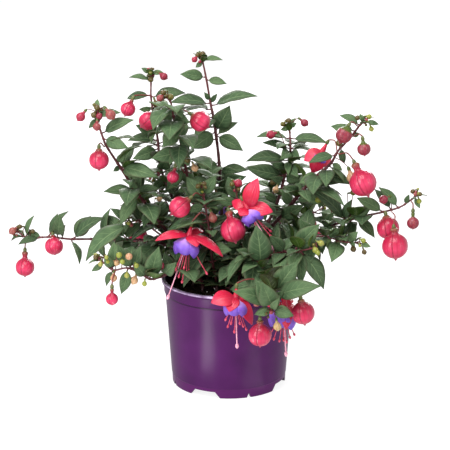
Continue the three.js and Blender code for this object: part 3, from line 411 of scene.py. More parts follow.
@dataclass(frozen=True)
class SepalFinish(Finish):
    """Open sepal: a fleshy waxy petal with faint long ribs."""

    grain_mm: float = 3.0
    relief_mm: float = 0.07
    base: str = "#96142e"
    face: str = "#c21a3c"
    light: str = "#d83458"
    ribs: float = 7.0
    rib_share: float = 0.05

    def dress(self, tree: Tree, shader: Node) -> None:
        """Draw ribs that run from the tube to the sepal's tip.

        Args:
            tree: the material's node tree.
            shader: the shader that it feeds.
        """
        along, aside = uv_axes(tree)
        rib = maths(tree, "SINE", maths(tree, "MULTIPLY", aside, self.ribs * 2 * math.pi))
        skin = maths(tree, "MULTIPLY", speckle(tree, self.grain_mm), 0.4)
        mix = maths(tree, "ADD", maths(tree, "MULTIPLY", along, 0.6), skin)
        body = ramp(tree, mix, ((0.1, self.base), (0.45, self.face), (0.95, self.light)))
        share = maths(tree, "MULTIPLY_ADD", rib, self.rib_share, self.rib_share)
        self.paint(tree, shader, blend(tree, share, body, self.base))
        self.relief(tree, shader, rib)


@dataclass(frozen=True)
class PetalFinish(Finish):
    """Corolla petal: thin crepe-like tissue, violet with a pinkish foot and paler fanned veins."""

    grain_mm: float = 1.6
    relief_mm: float = 0.15
    foot: str = "#cc9cda"
    body: str = "#8058c6"
    rim: str = "#55309c"
    vein: str = "#a684d8"
    fans: float = 5.0
    vein_share: float = 0.07

    def dress(self, tree: Tree, shader: Node) -> None:
        """Draw the pink foot, the violet body and the fan of veins.

        Args:
            tree: the material's node tree.
            shader: the shader that it feeds.
        """
        along, aside = uv_axes(tree)
        fan = maths(tree, "SINE", maths(tree, "MULTIPLY", aside, self.fans * 2 * math.pi))
        body = ramp(tree, along, ((0.08, self.foot), (0.42, self.body), (1.0, self.rim)))
        share = maths(tree, "MULTIPLY_ADD", fan, self.vein_share, self.vein_share)
        self.paint(tree, shader, blend(tree, share, body, self.vein))
        self.relief(tree, shader, maths(tree, "ADD", maths(tree, "MULTIPLY", fan, 0.2), speckle(tree, self.grain_mm)))


@dataclass(frozen=True)
class PlainGrowth(Finish):
    """Smooth parts of one colour that shifts a little: filaments, anthers, stalks, ovaries, perlite."""

    relief_mm: float = 0.12
    dark: str = "#a0203c"
    light: str = "#e85a86"

    def dress(self, tree: Tree, shader: Node) -> None:
        """Draw the slow shift between the two colours and a fine grain.

        Args:
            tree: the material's node tree.
            shader: the shader that it feeds.
        """
        grain = speckle(tree, self.grain_mm)
        self.paint(tree, shader, ramp(tree, grain, ((0.3, self.dark), (0.7, self.light))))
        self.relief(tree, shader, grain)


@dataclass(frozen=True)
class CompostFinish(Finish):
    """Damp peat compost: near-black crumbs and fibres with brown bark among them."""

    relief_mm: float = 1.6
    patch_mm: float = 9.0
    wet: str = "#0a0605"
    dry: str = "#261915"
    bark: str = "#54392a"

    def dress(self, tree: Tree, shader: Node) -> None:
        """Draw fine crumbs and coarser patches.

        Args:
            tree: the material's node tree.
            shader: the shader that it feeds.
        """
        crumbs = speckle(tree, self.grain_mm, 6.0, 0.7)
        mix = maths(tree, "MULTIPLY_ADD", speckle(tree, self.patch_mm), 0.4, maths(tree, "MULTIPLY", crumbs, 0.65))
        self.paint(tree, shader, ramp(tree, mix, ((0.38, self.wet), (0.55, self.dry), (0.72, self.bark))))
        self.relief(tree, shader, crumbs)


@dataclass(frozen=True)
class PotPlastic(Finish):
    """Thermoformed polypropylene: even purple, satin, with a faint grain, a little redder on the foot ring, with
    painted shade on cut edges and under steps and a painted highlight on the lip.
    """

    grain_mm: float = 0.8
    relief_mm: float = 0.02
    uneven_mm: float = 30.0
    lip_highlight_patch_mm: float = 9.0
    axis: tuple[float, float] = (0.0, 0.0)
    shade: str = "#3e1145"
    tint: str = "#48154f"
    foot: str = "#4e1652"
    # Painted shade: the near-black laid on the feet's cut edges and in bands under the collar and the lip.
    dark: str = "#1a071c"
    painted_shade_share: float = 0.75
    # Painted highlight: a pale lilac on the lip's top where it would mirror the bright room, in patches.
    painted_lip_highlight: str = "#b8a6c6"
    foot_top: float = 9.3
    # Heights in millimetres of the painted shadow bands under the collar step and under the lip.
    collar: tuple[float, float] = (91.3, 93.1)
    lip: tuple[float, float] = (101.9, 103.0)
    lip_highlight_from: float = 103.9

    def faces_out(self, tree: Tree, place: Socket) -> Socket:
        """Tell how squarely the surface faces away from the pot's axis.

        Args:
            tree: the material's node tree.
            place: the place on the surface.

        Returns:
            1 on the wall's outer face, and less on edges that are cut across it.
        """
        centred = add_node(tree, "ShaderNodeMapping", Vector=place, Location=(*(-a * MM for a in self.axis), 0.0))
        steps = (("MULTIPLY", (1.0, 1.0, 0.0)), ("NORMALIZE", (0.0, 0.0, 0.0)),
                 ("DOT_PRODUCT", add_node(tree, "ShaderNodeNewGeometry").outputs["Normal"]))
        spoke = centred
        for operation, other in steps:
            inputs = {0: spoke.outputs[0], 1: other}
            spoke = add_node(tree, "ShaderNodeVectorMath", {"operation": operation, "at": inputs})
        return spoke.outputs["Value"]

    def dress(self, tree: Tree, shader: Node) -> None:
        """Draw slow unevenness, a fine grain, painted shadow under the collar and the lip, painted shade on the feet's
        cut edges, and a painted highlight on the lip's top.

        Args:
            tree: the material's node tree.
            shader: the shader that it feeds.
        """
        slow = speckle(tree, self.uneven_mm, 2.0)
        place = add_node(tree, "ShaderNodeTexCoord").outputs["Object"]
        level = add_node(tree, "ShaderNodeSeparateXYZ", Vector=place).outputs["Z"]
        low = maths(tree, "LESS_THAN", level, self.foot_top * MM)
        colour = blend(tree, low, ramp(tree, slow, ((0.3, self.shade), (0.7, self.tint))), self.foot)
        # Painted shade on the cut faces of the notches and vees, then painted shadow bands under the collar and the
        # lip.
        painted_shade_mask = maths(tree, "MULTIPLY", low, maths(tree, "LESS_THAN", self.faces_out(tree, place), 0.8))
        for bottom, top in (self.collar, self.lip):
            middle, half = (bottom + top) / 2 * MM, (top - bottom) / 2 * MM
            painted_shade_mask = maths(tree, "MAXIMUM", painted_shade_mask, maths(tree, "COMPARE", level, middle, half))
        colour = blend(tree, maths(tree, "MULTIPLY", painted_shade_mask, self.painted_shade_share), colour, self.dark)
        # Painted highlight: pale patches over the top of the lip.
        lip_highlight_patches = maths(tree, "MULTIPLY_ADD", speckle(tree, self.lip_highlight_patch_mm), 2.4, -0.5, clamp=True)
        above = maths(tree, "GREATER_THAN", level, self.lip_highlight_from * MM)
        lip_highlight_mask = maths(tree, "MULTIPLY", above, lip_highlight_patches, clamp=True)
        self.paint(tree, shader, blend(tree, lip_highlight_mask, colour, self.painted_lip_highlight))
        dull = maths(tree, "MULTIPLY_ADD", slow, 0.1, self.roughness - 0.05)
        tree.links.new(dull, shader.inputs["Roughness"])
        self.relief(tree, shader, speckle(tree, self.grain_mm, 2.0))


class Palette:
    """Every finished material, built once."""

    def __init__(self) -> None:
        """Build each finish under its short name."""
        self.leaf = LeafFinish("waxy_leaf_upper", roughness=0.33, glint="#fffbd0").build()
        self.leaf_back = LeafFinish(
            "matt_leaf_underside", roughness=0.6, glint="#fffbd0", deep="#2f4630", middle="#425c3e",
            bright="#5c7750", vein="#7c9468", edge="#50302f", edge_share=0.35).build()
        self.bark = BarkFinish("red_brown_bark", roughness=0.45).build()
        self.young_bud = YoungBudFinish("ripening_bud_skin", roughness=0.36, soft_mm=0.6).build()
        self.bud = BudSkin("ripe_bud_skin", roughness=0.28, soft_mm=0.8, coat=0.15, specular=0.4).build()
        self.sepal = SepalFinish("waxy_sepal", roughness=0.32, soft_mm=0.6).build()
        self.petal = PetalFinish("crepe_petal", roughness=0.5, soft_mm=0.6).build()
        self.filament = PlainGrowth("red_filament", roughness=0.4, dark="#a8203e", light="#e45570").build()
        self.style = PlainGrowth("pale_pink_style", roughness=0.4, dark="#dc7e9e", light="#f4bccc").build()
        self.stalk = PlainGrowth("bud_stalk", roughness=0.45, dark="#5e2628", light="#8c4038").build()
        self.ovary = PlainGrowth("green_ovary", roughness=0.4, dark="#3e4c22", light="#66683a").build()
        self.compost = CompostFinish("damp_peat_compost", roughness=0.9, specular=0.25).build()
        self.perlite = PlainGrowth(
            "perlite_grain", roughness=0.85, dark="#c9c6be", light="#f2f0ea", grain_mm=1.0).build()
        self.pot = PotPlastic("satin_polypropylene", roughness=0.3, ior=1.3, axis=(19.17, -10.5)).build()


class Stage(Enum):
    """How ripe a bud is, as the value that its skin colour reads."""

    OLIVE = 0.0
    GREEN = 0.25
    PEACH = 0.5
    DUSKY = 0.75
    PINK = 1.0


def smooth_line(knots: np.ndarray, steps: int) -> np.ndarray:
    """Run a smooth line through knots.

    Args:
        knots: points in order.
        steps: stretches between one knot and the next.

    Returns:
        The points of the smooth line, knots included.
    """
    ends = np.vstack((2 * knots[0] - knots[1], knots, 2 * knots[-1] - knots[-2]))
    points = []
    for before, start, end, after in zip(ends, ends[1:], ends[2:], ends[3:]):
        for u in np.arange(steps) / steps:
            points.append(0.5 * (2 * start + (end - before) * u + (2 * before - 5 * start + 4 * end - after) * u**2
                                 + (3 * start - before - 3 * end + after) * u**3))
    return np.array([*points, knots[-1]])


@dataclass
class Skin:
    """Vertices, faces, UVs and tones of a mesh that is put together piece by piece."""

    points: list[np.ndarray] = field(default_factory=list)
    faces: list[tuple[int, ...]] = field(default_factory=list)
    uvs: list[np.ndarray] = field(default_factory=list)
    tones: list[np.ndarray] = field(default_factory=list)
    slots: list[int] = field(default_factory=list)
    count: int = 0

    def add(self, points: np.ndarray, faces: Iterable[tuple[int, ...]], uvs: np.ndarray, tone: float | np.ndarray,
            slot: int = 0) -> None:
        """Add one piece.

        Args:
            points: its points in millimetres.
            faces: its faces, as numbers of its own points.
            uvs: the UV of each point.
            tone: its tone, or one for each point.
            slot: its material slot.
        """
        made = [tuple(i + self.count for i in face) for face in faces]
        self.points.append(points)
        self.faces += made
        self.uvs.append(uvs)
        self.tones.append(np.full(len(points), tone))
        self.slots += [slot] * len(made)
        self.count += len(points)

    def add_rings(self, rings: np.ndarray, levels: np.ndarray, tone: float | np.ndarray, slot: int = 0) -> None:
        """Add a closed body that is drawn over rings of points.

        Args:
            rings: for each ring its points in millimetres.
            levels: the UV height of each ring.
            tone: the body's tone, or one for each point.
            slot: its material slot.
        """
        count, sides = rings.shape[:2]
        last = (count - 1) * sides
        faces = [(r * sides + s, r * sides + (s + 1) % sides, (r + 1) * sides + (s + 1) % sides, (r + 1) * sides + s)
                 for r in range(count - 1) for s in range(sides)]
        faces += [tuple(range(sides - 1, -1, -1)), tuple(range(last, last + sides))]
        uvs = np.column_stack((np.tile(np.arange(sides) / sides, count), np.repeat(levels, sides)))
        self.add(rings.reshape(-1, 3), faces, uvs, tone, slot)

    def build(self, name: str, materials: Sequence[Material]) -> Piece:
        """Make the object.

        Args:
            name: the object's name.
            materials: its materials in slot order.

        Returns:
            The new object, smooth shaded.
        """
        mesh = bpy.data.meshes.new(name)
        mesh.from_pydata((np.vstack(self.points) * MM).tolist(), [], self.faces)
        mesh.polygons.foreach_set("use_smooth", [True] * len(self.faces))
        mesh.polygons.foreach_set("material_index", self.slots)
        corners = np.empty(len(mesh.loops), dtype=np.int32)
        mesh.loops.foreach_get("vertex_index", corners)
        mesh.uv_layers.new(name="UVMap").data.foreach_set("uv", np.vstack(self.uvs)[corners].ravel())
        tone = mesh.attributes.new("tone", "FLOAT", "POINT")
        tone.data.foreach_set("value", np.concatenate(self.tones).astype(np.float32))
        for material in materials:
            mesh.materials.append(material)
        mesh.validate()
        piece = bpy.data.objects.new(name, mesh)
        bpy.context.collection.objects.link(piece)
        return piece


def select_only(*pieces: Piece) -> None:
    """Select some objects and nothing else.

    Args:
        pieces: the objects; the first one becomes active.
    """
    bpy.ops.object.select_all(action="DESELECT")
    for piece in pieces:
        piece.select_set(True)
    bpy.context.view_layer.objects.active = pieces[0]


def apply_modifier(piece: Piece, kind: str, **settings: object) -> None:
    """Add a modifier and apply it.

    Args:
        piece: the object that it changes.
        kind: the modifier's type.
        settings: its settings by name.
    """
    select_only(piece)
    modifier = piece.modifiers.new(kind.lower(), kind)
    for key, value in settings.items():
        setattr(modifier, key, value)
    bpy.ops.object.modifier_apply(modifier=modifier.name)


def joined(name: str, pieces: Sequence[Piece]) -> Piece:
    """Join objects into the first one.

    Args:
        name: the name of the joined object.
        pieces: the objects.

    Returns:
        The joined object.
    """
    select_only(*pieces)
    if len(pieces) > 1:
        bpy.ops.object.join()
    pieces[0].name = name
    pieces[0].data.name = name
    return pieces[0]


def add_rod(skin: Skin, line: np.ndarray, radii: Sequence[float], tone: tuple[float, float] | float, sides: int = 8,
            slot: int = 0) -> None:
    """Add a closed round rod along a line.

    Args:
        skin: what the rod is added to.
        line: its middle line in millimetres.
        radii: its radius at each point.
        tone: one tone for the rod, or the tones of its two ends.
        sides: how many sides it has.
        slot: its material slot.
    """
    axes = np.gradient(line, axis=0)
    axes /= np.linalg.norm(axes, axis=1)[:, None]
    side = unit(np.cross(axes[0], UP if abs(axes[0][2]) < 0.9 else (0.0, 1.0, 0.0)))
    turns = np.arange(sides) / sides * 2 * math.pi
    rows = []
    for point, axis, radius in zip(line, axes, radii):
        side = unit(side - axis * side.dot(axis))
        across = np.cross(axis, side)
        rows.append(point + radius * (np.cos(turns)[:, None] * side + np.sin(turns)[:, None] * across))
    along = np.linspace(0, 1, len(line))
    first, final = tone if isinstance(tone, tuple) else (tone, tone)
    skin.add_rings(np.array(rows), along, np.repeat(first + (final - first) * along, sides), slot)


class Pattern:
    """A shape that is modelled once and copied: its points as fractions, and its faces."""

    def __init__(self, rows: int, columns: int) -> None:
        """Model a flat grid.

        Args:
            rows: how many faces it has along it.
            columns: how many it has across it.
        """
        bpy.ops.object.select_all(action="DESELECT")
        bpy.ops.mesh.primitive_grid_add(x_subdivisions=rows, y_subdivisions=columns, size=1, location=(0.5, 0, 0))
        grid = bpy.context.object
        bpy.ops.object.transform_apply(location=True, rotation=True, scale=True)
        self.along = np.array([v.co.x for v in grid.data.vertices])
        self.aside = np.array([2 * v.co.y for v in grid.data.vertices])
        self.faces = [tuple(p.vertices) for p in grid.data.polygons]
        self.uvs = np.column_stack((self.along, (self.aside + 1) / 2))
        bpy.data.objects.remove(grid)


@dataclass(frozen=True)
class BladeForm:
    """How a blade is shaped: its outline, its fold along the midrib and the waves of its edge."""

    broadest_at: float
    fullness: float
    tip_draw: float
    fold: float
    bow: float
    puff: float
    wave: float
    thickness: float
    wave_turns: float = 15.0
    lean: float = 0.04

    def half_width(self, along: np.ndarray) -> np.ndarray:
        """Shape the outline.

        Args:
            along: fractions of the length.

        Returns:
            The half width at each of them, 1 at its widest.
        """
        power = math.log(0.5) / math.log(self.broadest_at)
        outline = np.sin(math.pi * np.clip(along, 0, 1) ** power) ** self.fullness
        return outline * (1 - self.tip_draw * np.clip((along - 0.7) / 0.3, 0, 1) ** 2) + 0.02

    def add_to(self, skin: Skin, pattern: Pattern, start: np.ndarray, tip: np.ndarray, facing: np.ndarray,
               width: float, tone: float, draw: random.Random) -> None:
        """Add one blade.

        Args:
            skin: what the blade is added to.
            pattern: the flat grid that it is bent from.
            start: where the blade starts, in millimetres.
            tip: its tip.
            facing: the way that its upper face looks.
            width: its full width.
            tone: its tone.
            draw: the seeded random draw.
        """
        length = float(np.linalg.norm(tip - start))
        axis = (tip - start) / length
        normal = unit(facing - axis * facing.dot(axis))
        across = np.cross(axis, normal)
        t, s = pattern.along, pattern.aside
        reach = s * self.half_width(t) * width / 2
        phase = draw.uniform(0, 2 * math.pi)
        lean = draw.uniform(-self.lean, self.lean) * length * np.sin(math.pi * t)
        height = (self.bow * length * 4 * t * (1 - t) + self.fold * np.abs(reach)
                  + self.puff * width * np.sin(math.pi * np.abs(s)) * self.half_width(t)
                  + self.wave * width * s**2 * np.sin(t * self.wave_turns + phase + s) * (1 - t))
        points = start + np.outer(t * length, axis) + np.outer(reach + lean, across) + np.outer(height, normal)
        skin.add(points, pattern.faces, pattern.uvs, tone)


LEAF_FORM = BladeForm(broadest_at=0.4, fullness=0.9, tip_draw=0.45, fold=0.2, bow=0.1, puff=0.035, wave=0.035,
                      thickness=0.4)
SEPAL_FORM = BladeForm(broadest_at=0.42, fullness=0.7, tip_draw=0.35, fold=-0.2, bow=0.16, puff=-0.03, wave=0.01,
                       thickness=0.8)


def facing_of(start: np.ndarray, tip: np.ndarray, roll: float) -> np.ndarray:
    """Tell which way a blade faces: straight up, square to its length, then rolled.

    Args:
        start: where the blade starts.
        tip: its tip.
        roll: how far it is rolled about its length, in degrees.

    Returns:
        The way that its upper face looks.
    """
    axis = unit(tip - start)
    level = np.array((0.0, -1.0, 0.0)) if abs(axis[2]) > 0.97 else UP
    upward = unit(level - axis * level.dot(axis))
    across = np.cross(axis, upward)
    angle = math.radians(roll)
    return upward * math.cos(angle) + across * math.sin(angle)


# The crown's outline in the front view: sideways from the pot's axis and up, in millimetres, on the axis's plane.
CROWN = (
    (-97, 233), (-75, 270), (-58, 274), (-35, 267), (-28, 242), (-12, 233), (3, 225), (22, 218), (41, 233),
    (64, 242), (85, 233), (97, 211), (116, 201), (121, 183), (136, 171), (135, 151), (118, 138), (101, 131),
    (87, 114), (87, 100), (50, 92), (11, 92), (-38, 97), (-63, 106), (-87, 110), (-111, 120), (-114, 138),
    (-108, 158), (-107, 178), (-97, 198), (-103, 218),
)
# The gaps between the shoots where light shows through the crown, laid out in the same way.
GAPS = (
    ((-31, 233), (-15, 241), (-7, 240), (11, 232), (17, 223), (12, 217), (-7, 215), (-21, 220), (-32, 225)),
    ((-108, 147), (-92, 148), (-74, 157), (-68, 153), (-74, 146), (-88, 144), (-102, 144)),
    ((93, 178), (102, 182), (109, 177), (111, 167), (108, 165), (101, 171)),
    ((124, 183), (134, 183), (145, 177), (145, 171), (136, 172), (128, 177)),
    ((89, 171), (98, 167), (107, 162), (98, 160), (90, 164)),
    ((101, 194), (108, 198), (115, 197), (115, 191), (110, 184), (104, 190)),
    ((-79, 183), (-72, 181), (-76, 176), (-79, 178)),
)


def goes_round(outline: Pairs, across: float, level: float) -> bool:
    """Tell whether an outline in the front view goes round a place there.

    Args:
        outline: the corners of the closed outline.
        across: the place, sideways.
        level: the place, upwards.

    Returns:
        True when the place is inside.
    """
    inside = False
    for (x0, z0), (x1, z1) in zip(outline, (*outline[1:], outline[0])):
        if (z0 > level) != (z1 > level) and across < x0 + (level - z0) * (x1 - x0) / (z1 - z0):
            inside = not inside
    return inside


@dataclass
class Room:
    """The places that are taken on the plant, so that leaves set by rule keep clear of them and inside the crown."""

    outline: Pairs = CROWN
    gaps: tuple[Pairs, ...] = GAPS
    eye: tuple[float, float, float] = EYE
    view_step: tuple[float, float, float] = (0.0, -13.0, 4.0)
    view_steps: int = 4
    near: float = 60.0
    places: np.ndarray = field(default_factory=lambda: np.empty((0, 3)))
    reaches: np.ndarray = field(default_factory=lambda: np.empty(0))

    def take(self, points: np.ndarray, reach: float) -> None:
        """Mark points in millimetres as taken, each with so much room round it."""
        self.places = np.vstack((self.places, points))
        self.reaches = np.append(self.reaches, np.full(len(np.atleast_2d(points)), reach))

    def take_view(self, points: np.ndarray, reach: float) -> None:
        """Mark points as taken, and the air in front of them, so that they stay in sight."""
        for step in range(self.view_steps):
            self.take(np.atleast_2d(points) + np.array(self.view_step) * step, reach)

    def is_free(self, points: np.ndarray) -> bool:
        """Tell whether points are clear of all that is taken.

        Args:
            points: places in millimetres that lie close together.

        Returns:
            True when all of them are clear.
        """
        near = np.linalg.norm(self.places - points[0], axis=1) < self.near
        gaps = np.linalg.norm(points[:, None] - self.places[near][None], axis=2)
        return bool((gaps > self.reaches[near]).all())

    def shown_at(self, place: np.ndarray, centre: np.ndarray) -> tuple[float, float]:
        """Find where a place shows in the front view.

        Args:
            place: the place in millimetres.
            centre: the pot's axis on the ground, in millimetres.

        Returns:
            Sideways and up, on the plane of the pot's axis.
        """
        away = place - centre - np.array(self.eye)
        away *= -self.eye[1] / away[1]
        return self.eye[0] + away[0], self.eye[2] + away[2]

    def in_crown(self, place: np.ndarray, centre: np.ndarray) -> bool:
        """Tell whether a place lies inside the crown's outline in the front view."""
        return goes_round(self.outline, *self.shown_at(place, centre))

    def in_gap(self, points: np.ndarray, centre: np.ndarray) -> bool:
        """Tell whether any of the points shows in a gap of the crown in the front view."""
        shown = [self.shown_at(point, centre) for point in points]
        return any(goes_round(gap, *place) for gap in self.gaps for place in shown)


def blade_places(start: np.ndarray, tip: np.ndarray, facing: np.ndarray, width: float) -> np.ndarray:
    """Spread places over a blade, to stand for it where room is sought.

    Args:
        start: where the blade starts.
        tip: its tip.
        facing: the way that its upper face looks.
        width: its full width.

    Returns:
        Places along its middle and along both its sides.
    """
    across = unit(np.cross(tip - start, facing)) * width * SIDE_SHARE
    middle = [start + (tip - start) * t for t in (0.25, 0.5, 0.75, 1.0)]
    return np.array([*middle, *(place + side for place in middle[:3] for side in (across, -across))])


@dataclass
class LeafyStem:
    """One woody shoot with its leaves and young buds.

    A leaf is (place on the stem from 0 to 1, tip x, tip y, tip z, roll in degrees, width). A bud is (place on the
    stem, x, y, z, diameter, stage). fill() adds the leaves that are too many for the solid model. A full-grown
    leaf is `length` long; `rounds` gives the spacing of its pairs and their size, round after round.
    """

    name: str
    thick: tuple[float, float]
    knots: Sequence[Row]
    leaves: Sequence[Row]
    buds: Sequence[tuple]
    petiole: float = 0.12
    stalk_radius: float = 0.5
    steps: int = 6
    length: float = 38.0
    rounds: Pairs = ((18.0, 1.0), (20.0, 0.84), (23.0, 0.68), (26.0, 0.5))
    swings: tuple[float, ...] = (0, 0.4, -0.4, 0.8, -0.8, 1.2, -1.2, 1.6, -1.6)
    crown_part: tuple[float, float] = (0.12, 0.9)
    tip_part: tuple[float, float] = (0.9, 1.0)
    tip_round: tuple[float, float] = (4.0, 0.3)
    tip_buds: int = 14
    tip_stages: tuple[str, ...] = ("olive", "olive", "green", "dusky")
    foot_levels: tuple[float, float] = (84.5, 96.0)
    rim_level: float = 104.0
    rim_reach: float = 70.0
    taper: float = 0.8
    joint: float = 1.3
    bud_hang: float = 0.95
    bud_neck: float = 1.05
    more: list[tuple] = field(default_factory=list)
    young: list[tuple] = field(default_factory=list)

    def line(self) -> np.ndarray:
        """Return the shoot's smooth middle line, from its foot in the compost upwards."""
        feet = [(*self.knots[0][:2], level) for level in self.foot_levels]
        return smooth_line(np.array((*feet, *self.knots)), self.steps)

    def at(self, line: np.ndarray, t: float) -> np.ndarray:
        """Find a place on the stem.

        Args:
            line: its middle line.
            t: how far along it, from 0 to 1.

        Returns:
            The place.
        """
        where = t * (len(line) - 1)
        i = min(int(where), len(line) - 2)
        return line[i] + (line[i + 1] - line[i]) * (where - i)

    def blades(self, line: np.ndarray) -> Iterable[tuple]:
        """Go through every leaf.

        Args:
            line: the shoot's middle line.

        Yields:
            Each leaf's place on the stem, foot, blade start, tip, facing and width.
        """
        for t, x, y, z, roll, width in self.leaves:
            foot, tip = self.at(line, t), np.array((x, y, z))
            yield t, foot, foot + (tip - foot) * self.petiole, tip, facing_of(foot, tip, roll), width
        yield from self.more

    def take_room(self, room: Room) -> None:
        """Mark the shoot's own wood, leaves and young buds as taken.

        Args:
            room: the places that are taken.
        """
        line = self.line()
        room.take(line, WOOD_REACH)
        for _, _, start, tip, facing, width in self.blades(line):
            room.take(blade_places(start, tip, facing, width), LEAF_REACH)
        for _, x, y, z, size, _ in self.buds:
            room.take(np.array((x, y, z)), size / 2 + BUD_GAP)

    def fill(self, room: Room, centre: np.ndarray, coarse: bool) -> None:
        """Set pairs of leaves by rule where there is room for them.

        Args:
            room: the places that are taken.
            centre: the pot's axis on the ground, in millimetres.
            coarse: True for the large leaves of the crown, False for the tiny ones near the tip.
        """
        draw = random.Random(f"{self.name} {coarse}")
        line = self.line()
        long = float(np.linalg.norm(np.diff(line, axis=0), axis=1).sum())
        first, last = self.crown_part if coarse else self.tip_part
        for spacing, size in self.rounds if coarse else (self.tip_round,):
            pairs = max(int((last - first) * long / spacing), 1)
            if not coarse:
                self.crowd_tip(room, line, draw)
            for pair in range(pairs):
                t = first + (pair + 0.5) / pairs * (last - first)
                for half in range(2):
                    self.set_leaf(room, centre, line, t, size * draw.uniform(0.82, 1.2),
                                  (pair + half * 2) * math.pi / 2 + draw.uniform(-0.6, 0.6), draw.uniform(-0.1, 0.5),
                                  draw.uniform(0.4, 0.54), coarse)

    def set_leaf(self, room: Room, centre: np.ndarray, line: np.ndarray, t: float, size: float, turn: float,
                 droop: float, slim: float, coarse: bool) -> None:
        """Set one leaf the first way that has room; with none it is left off.

        Args:
            room: the places that are taken.
            centre: the pot's axis on the ground.
            line: the shoot's middle line.
            t: the leaf's place on it.
            size: its size against the full length.
            turn: the way that it points round the stem, in radians.
            droop: how far its tip hangs, as a share of its length.
            slim: its width as a share of its length.
            coarse: whether it is one of the crown's leaves, which stay inside the outline.
        """
        foot = self.at(line, t)
        stem = unit(self.at(line, min(t + 0.03, 1.0)) - self.at(line, t - 0.03))
        side = unit(np.cross(stem, ASKEW))
        across = np.cross(stem, side)
        for shrink in (1.0, 0.8, 0.64):
            length = self.length * size * shrink
            for swing in self.swings:
                out = side * math.cos(turn + swing) + across * math.sin(turn + swing)
                tip = foot + length * (0.93 * out + (0.22 * stem - droop * UP if coarse else 0.7 * stem))
                facing = out * 0.5 + UP
                start = foot + (tip - foot) * self.petiole
                over_rim = tip[2] < self.rim_level and math.hypot(*(tip - centre)[:2]) < self.rim_reach
                if coarse and (over_rim or not room.in_crown(tip, centre)):
                    continue
                blade = blade_places(start, tip, facing, length * slim)
                if room.is_free(blade[1:]) and not room.in_gap(blade, centre):
                    self.more.append((t, foot, start, tip, facing, length * slim))
                    room.take(blade, LEAF_REACH if coarse else TINY_REACH)
                    return

    def crowd_tip(self, room: Room, line: np.ndarray, draw: random.Random) -> None:
        """Crowd tiny unripe buds round the shoot's tip wherever there is room.

        Args:
            room: the places that are taken.
            line: the shoot's middle line.
            draw: the seeded random draw.
        """
        tip, stem = line[-1], unit(line[-1] - line[-4])
        side = unit(np.cross(stem, ASKEW))
        for i in range(self.tip_buds):
            turn, size = i * GOLDEN_TURN, draw.uniform(2.4, 4.0)
            out = side * math.cos(turn) + np.cross(stem, side) * math.sin(turn)
            place = tip + out * draw.uniform(1.5, 5.0) + stem * draw.uniform(-4.0, 5.0)
            if room.is_free(np.array([place])):
                room.take(place, size * 0.62)
                stage = self.tip_stages[i % len(self.tip_stages)]
                self.young.append((draw.uniform(0.94, 1.0), *place, size, stage))

    @staticmethod
    def tone_for(t: float, start: np.ndarray, tip: np.ndarray, draw: random.Random) -> float:
        """Choose a leaf's tone: brighter near the shoot's tip, darker and more even once full-grown, and painted
        lighter towards the front, where more light falls.

        Args:
            t: the leaf's place on the stem.
            start: where its blade starts.
            tip: its tip.
            draw: the seeded random draw.

        Returns:
            The tone.
        """
        young = max(0.0, (t - 0.82) / 0.18)
        # Painted light: leaves further to the front get a lighter tone.
        painted_front_light = min(max((-tip[1] - 50) / 200, 0.0), 0.1)
        grown = min(max(np.linalg.norm(tip - start) / 20 - 1.2, 0.0), 1.0)
        return 0.38 + 0.35 * young + painted_front_light - 0.22 * grown + draw.uniform(-0.38, 0.38) * (1 - 0.5 * grown)

    def build(self, pattern: Pattern, materials: Palette) -> Piece:
        """Model the shoot, its leaves and its young buds as one piece.

        Args:
            pattern: the grid that leaves are bent from.
            materials: the finished materials.

        Returns:
            The shoot.
        """
        draw = random.Random(self.name)
        line = self.line()
        wood, blades = Skin(), Skin()
        swell = 1 + 0.1 * np.array([draw.uniform(-1, 1) for _ in line])
        thick = np.linspace(self.thick[0], self.thick[1] * self.taper, len(line))
        add_rod(wood, line, thick * swell, (0.0, 1.0))
        for t in sorted({round(blade[0], 2) for blade in self.blades(line)}):
            along = unit(self.at(line, min(t + 0.02, 1.0)) - self.at(line, t - 0.02))
            radius = np.interp(t, (0, 1), (thick[0], thick[-1])) * self.joint
            LEAF_JOINT.add_to(wood, self.at(line, t), along, radius, t)
        for t, foot, start, tip, facing, width in self.blades(line):
            LEAF_FORM.add_to(blades, pattern, start, tip, facing, width, self.tone_for(t, start, tip, draw), draw)
            midrib = [foot, foot + (start - foot) * 0.6 - facing * 0.3, start + (tip - start) * 0.06 - facing * 0.1]
            add_rod(wood, smooth_line(np.array(midrib), 2), np.linspace(0.9, self.stalk_radius, 5), 0.7, 6)
        for t, x, y, z, size, stage in (*self.buds, *self.young):
            foot, heart = self.at(line, t), np.array((x, y, z))
            hang = unit(unit(heart - foot) - UP * self.bud_hang)
            neck = heart - hang * size * self.bud_neck
            bend = (foot + neck) / 2 + UP * 0.08 * np.linalg.norm(neck - foot)
            add_rod(wood, smooth_line(np.array((foot, bend, neck)), 3), np.linspace(0.5, 0.4, 7), 0.9, 5)
            ripe = min(max(Stage[stage.upper()].value + draw.uniform(-0.06, 0.06), 0.0), 1.0)
            YOUNG_BUD_SHAPE.add_to(wood, heart, hang, size / 2, ripe, slot=1)
        leaves = blades.build("blades", (materials.leaf, materials.leaf_back))
        apply_modifier(leaves, "SOLIDIFY", thickness=LEAF_FORM.thickness * MM, offset=0, material_offset=1,
                       use_quality_normals=True)
        shoot = wood.build("shoot", (materials.bark, materials.young_bud))
        return joined(f"fine_{self.name}", (leaves, shoot))


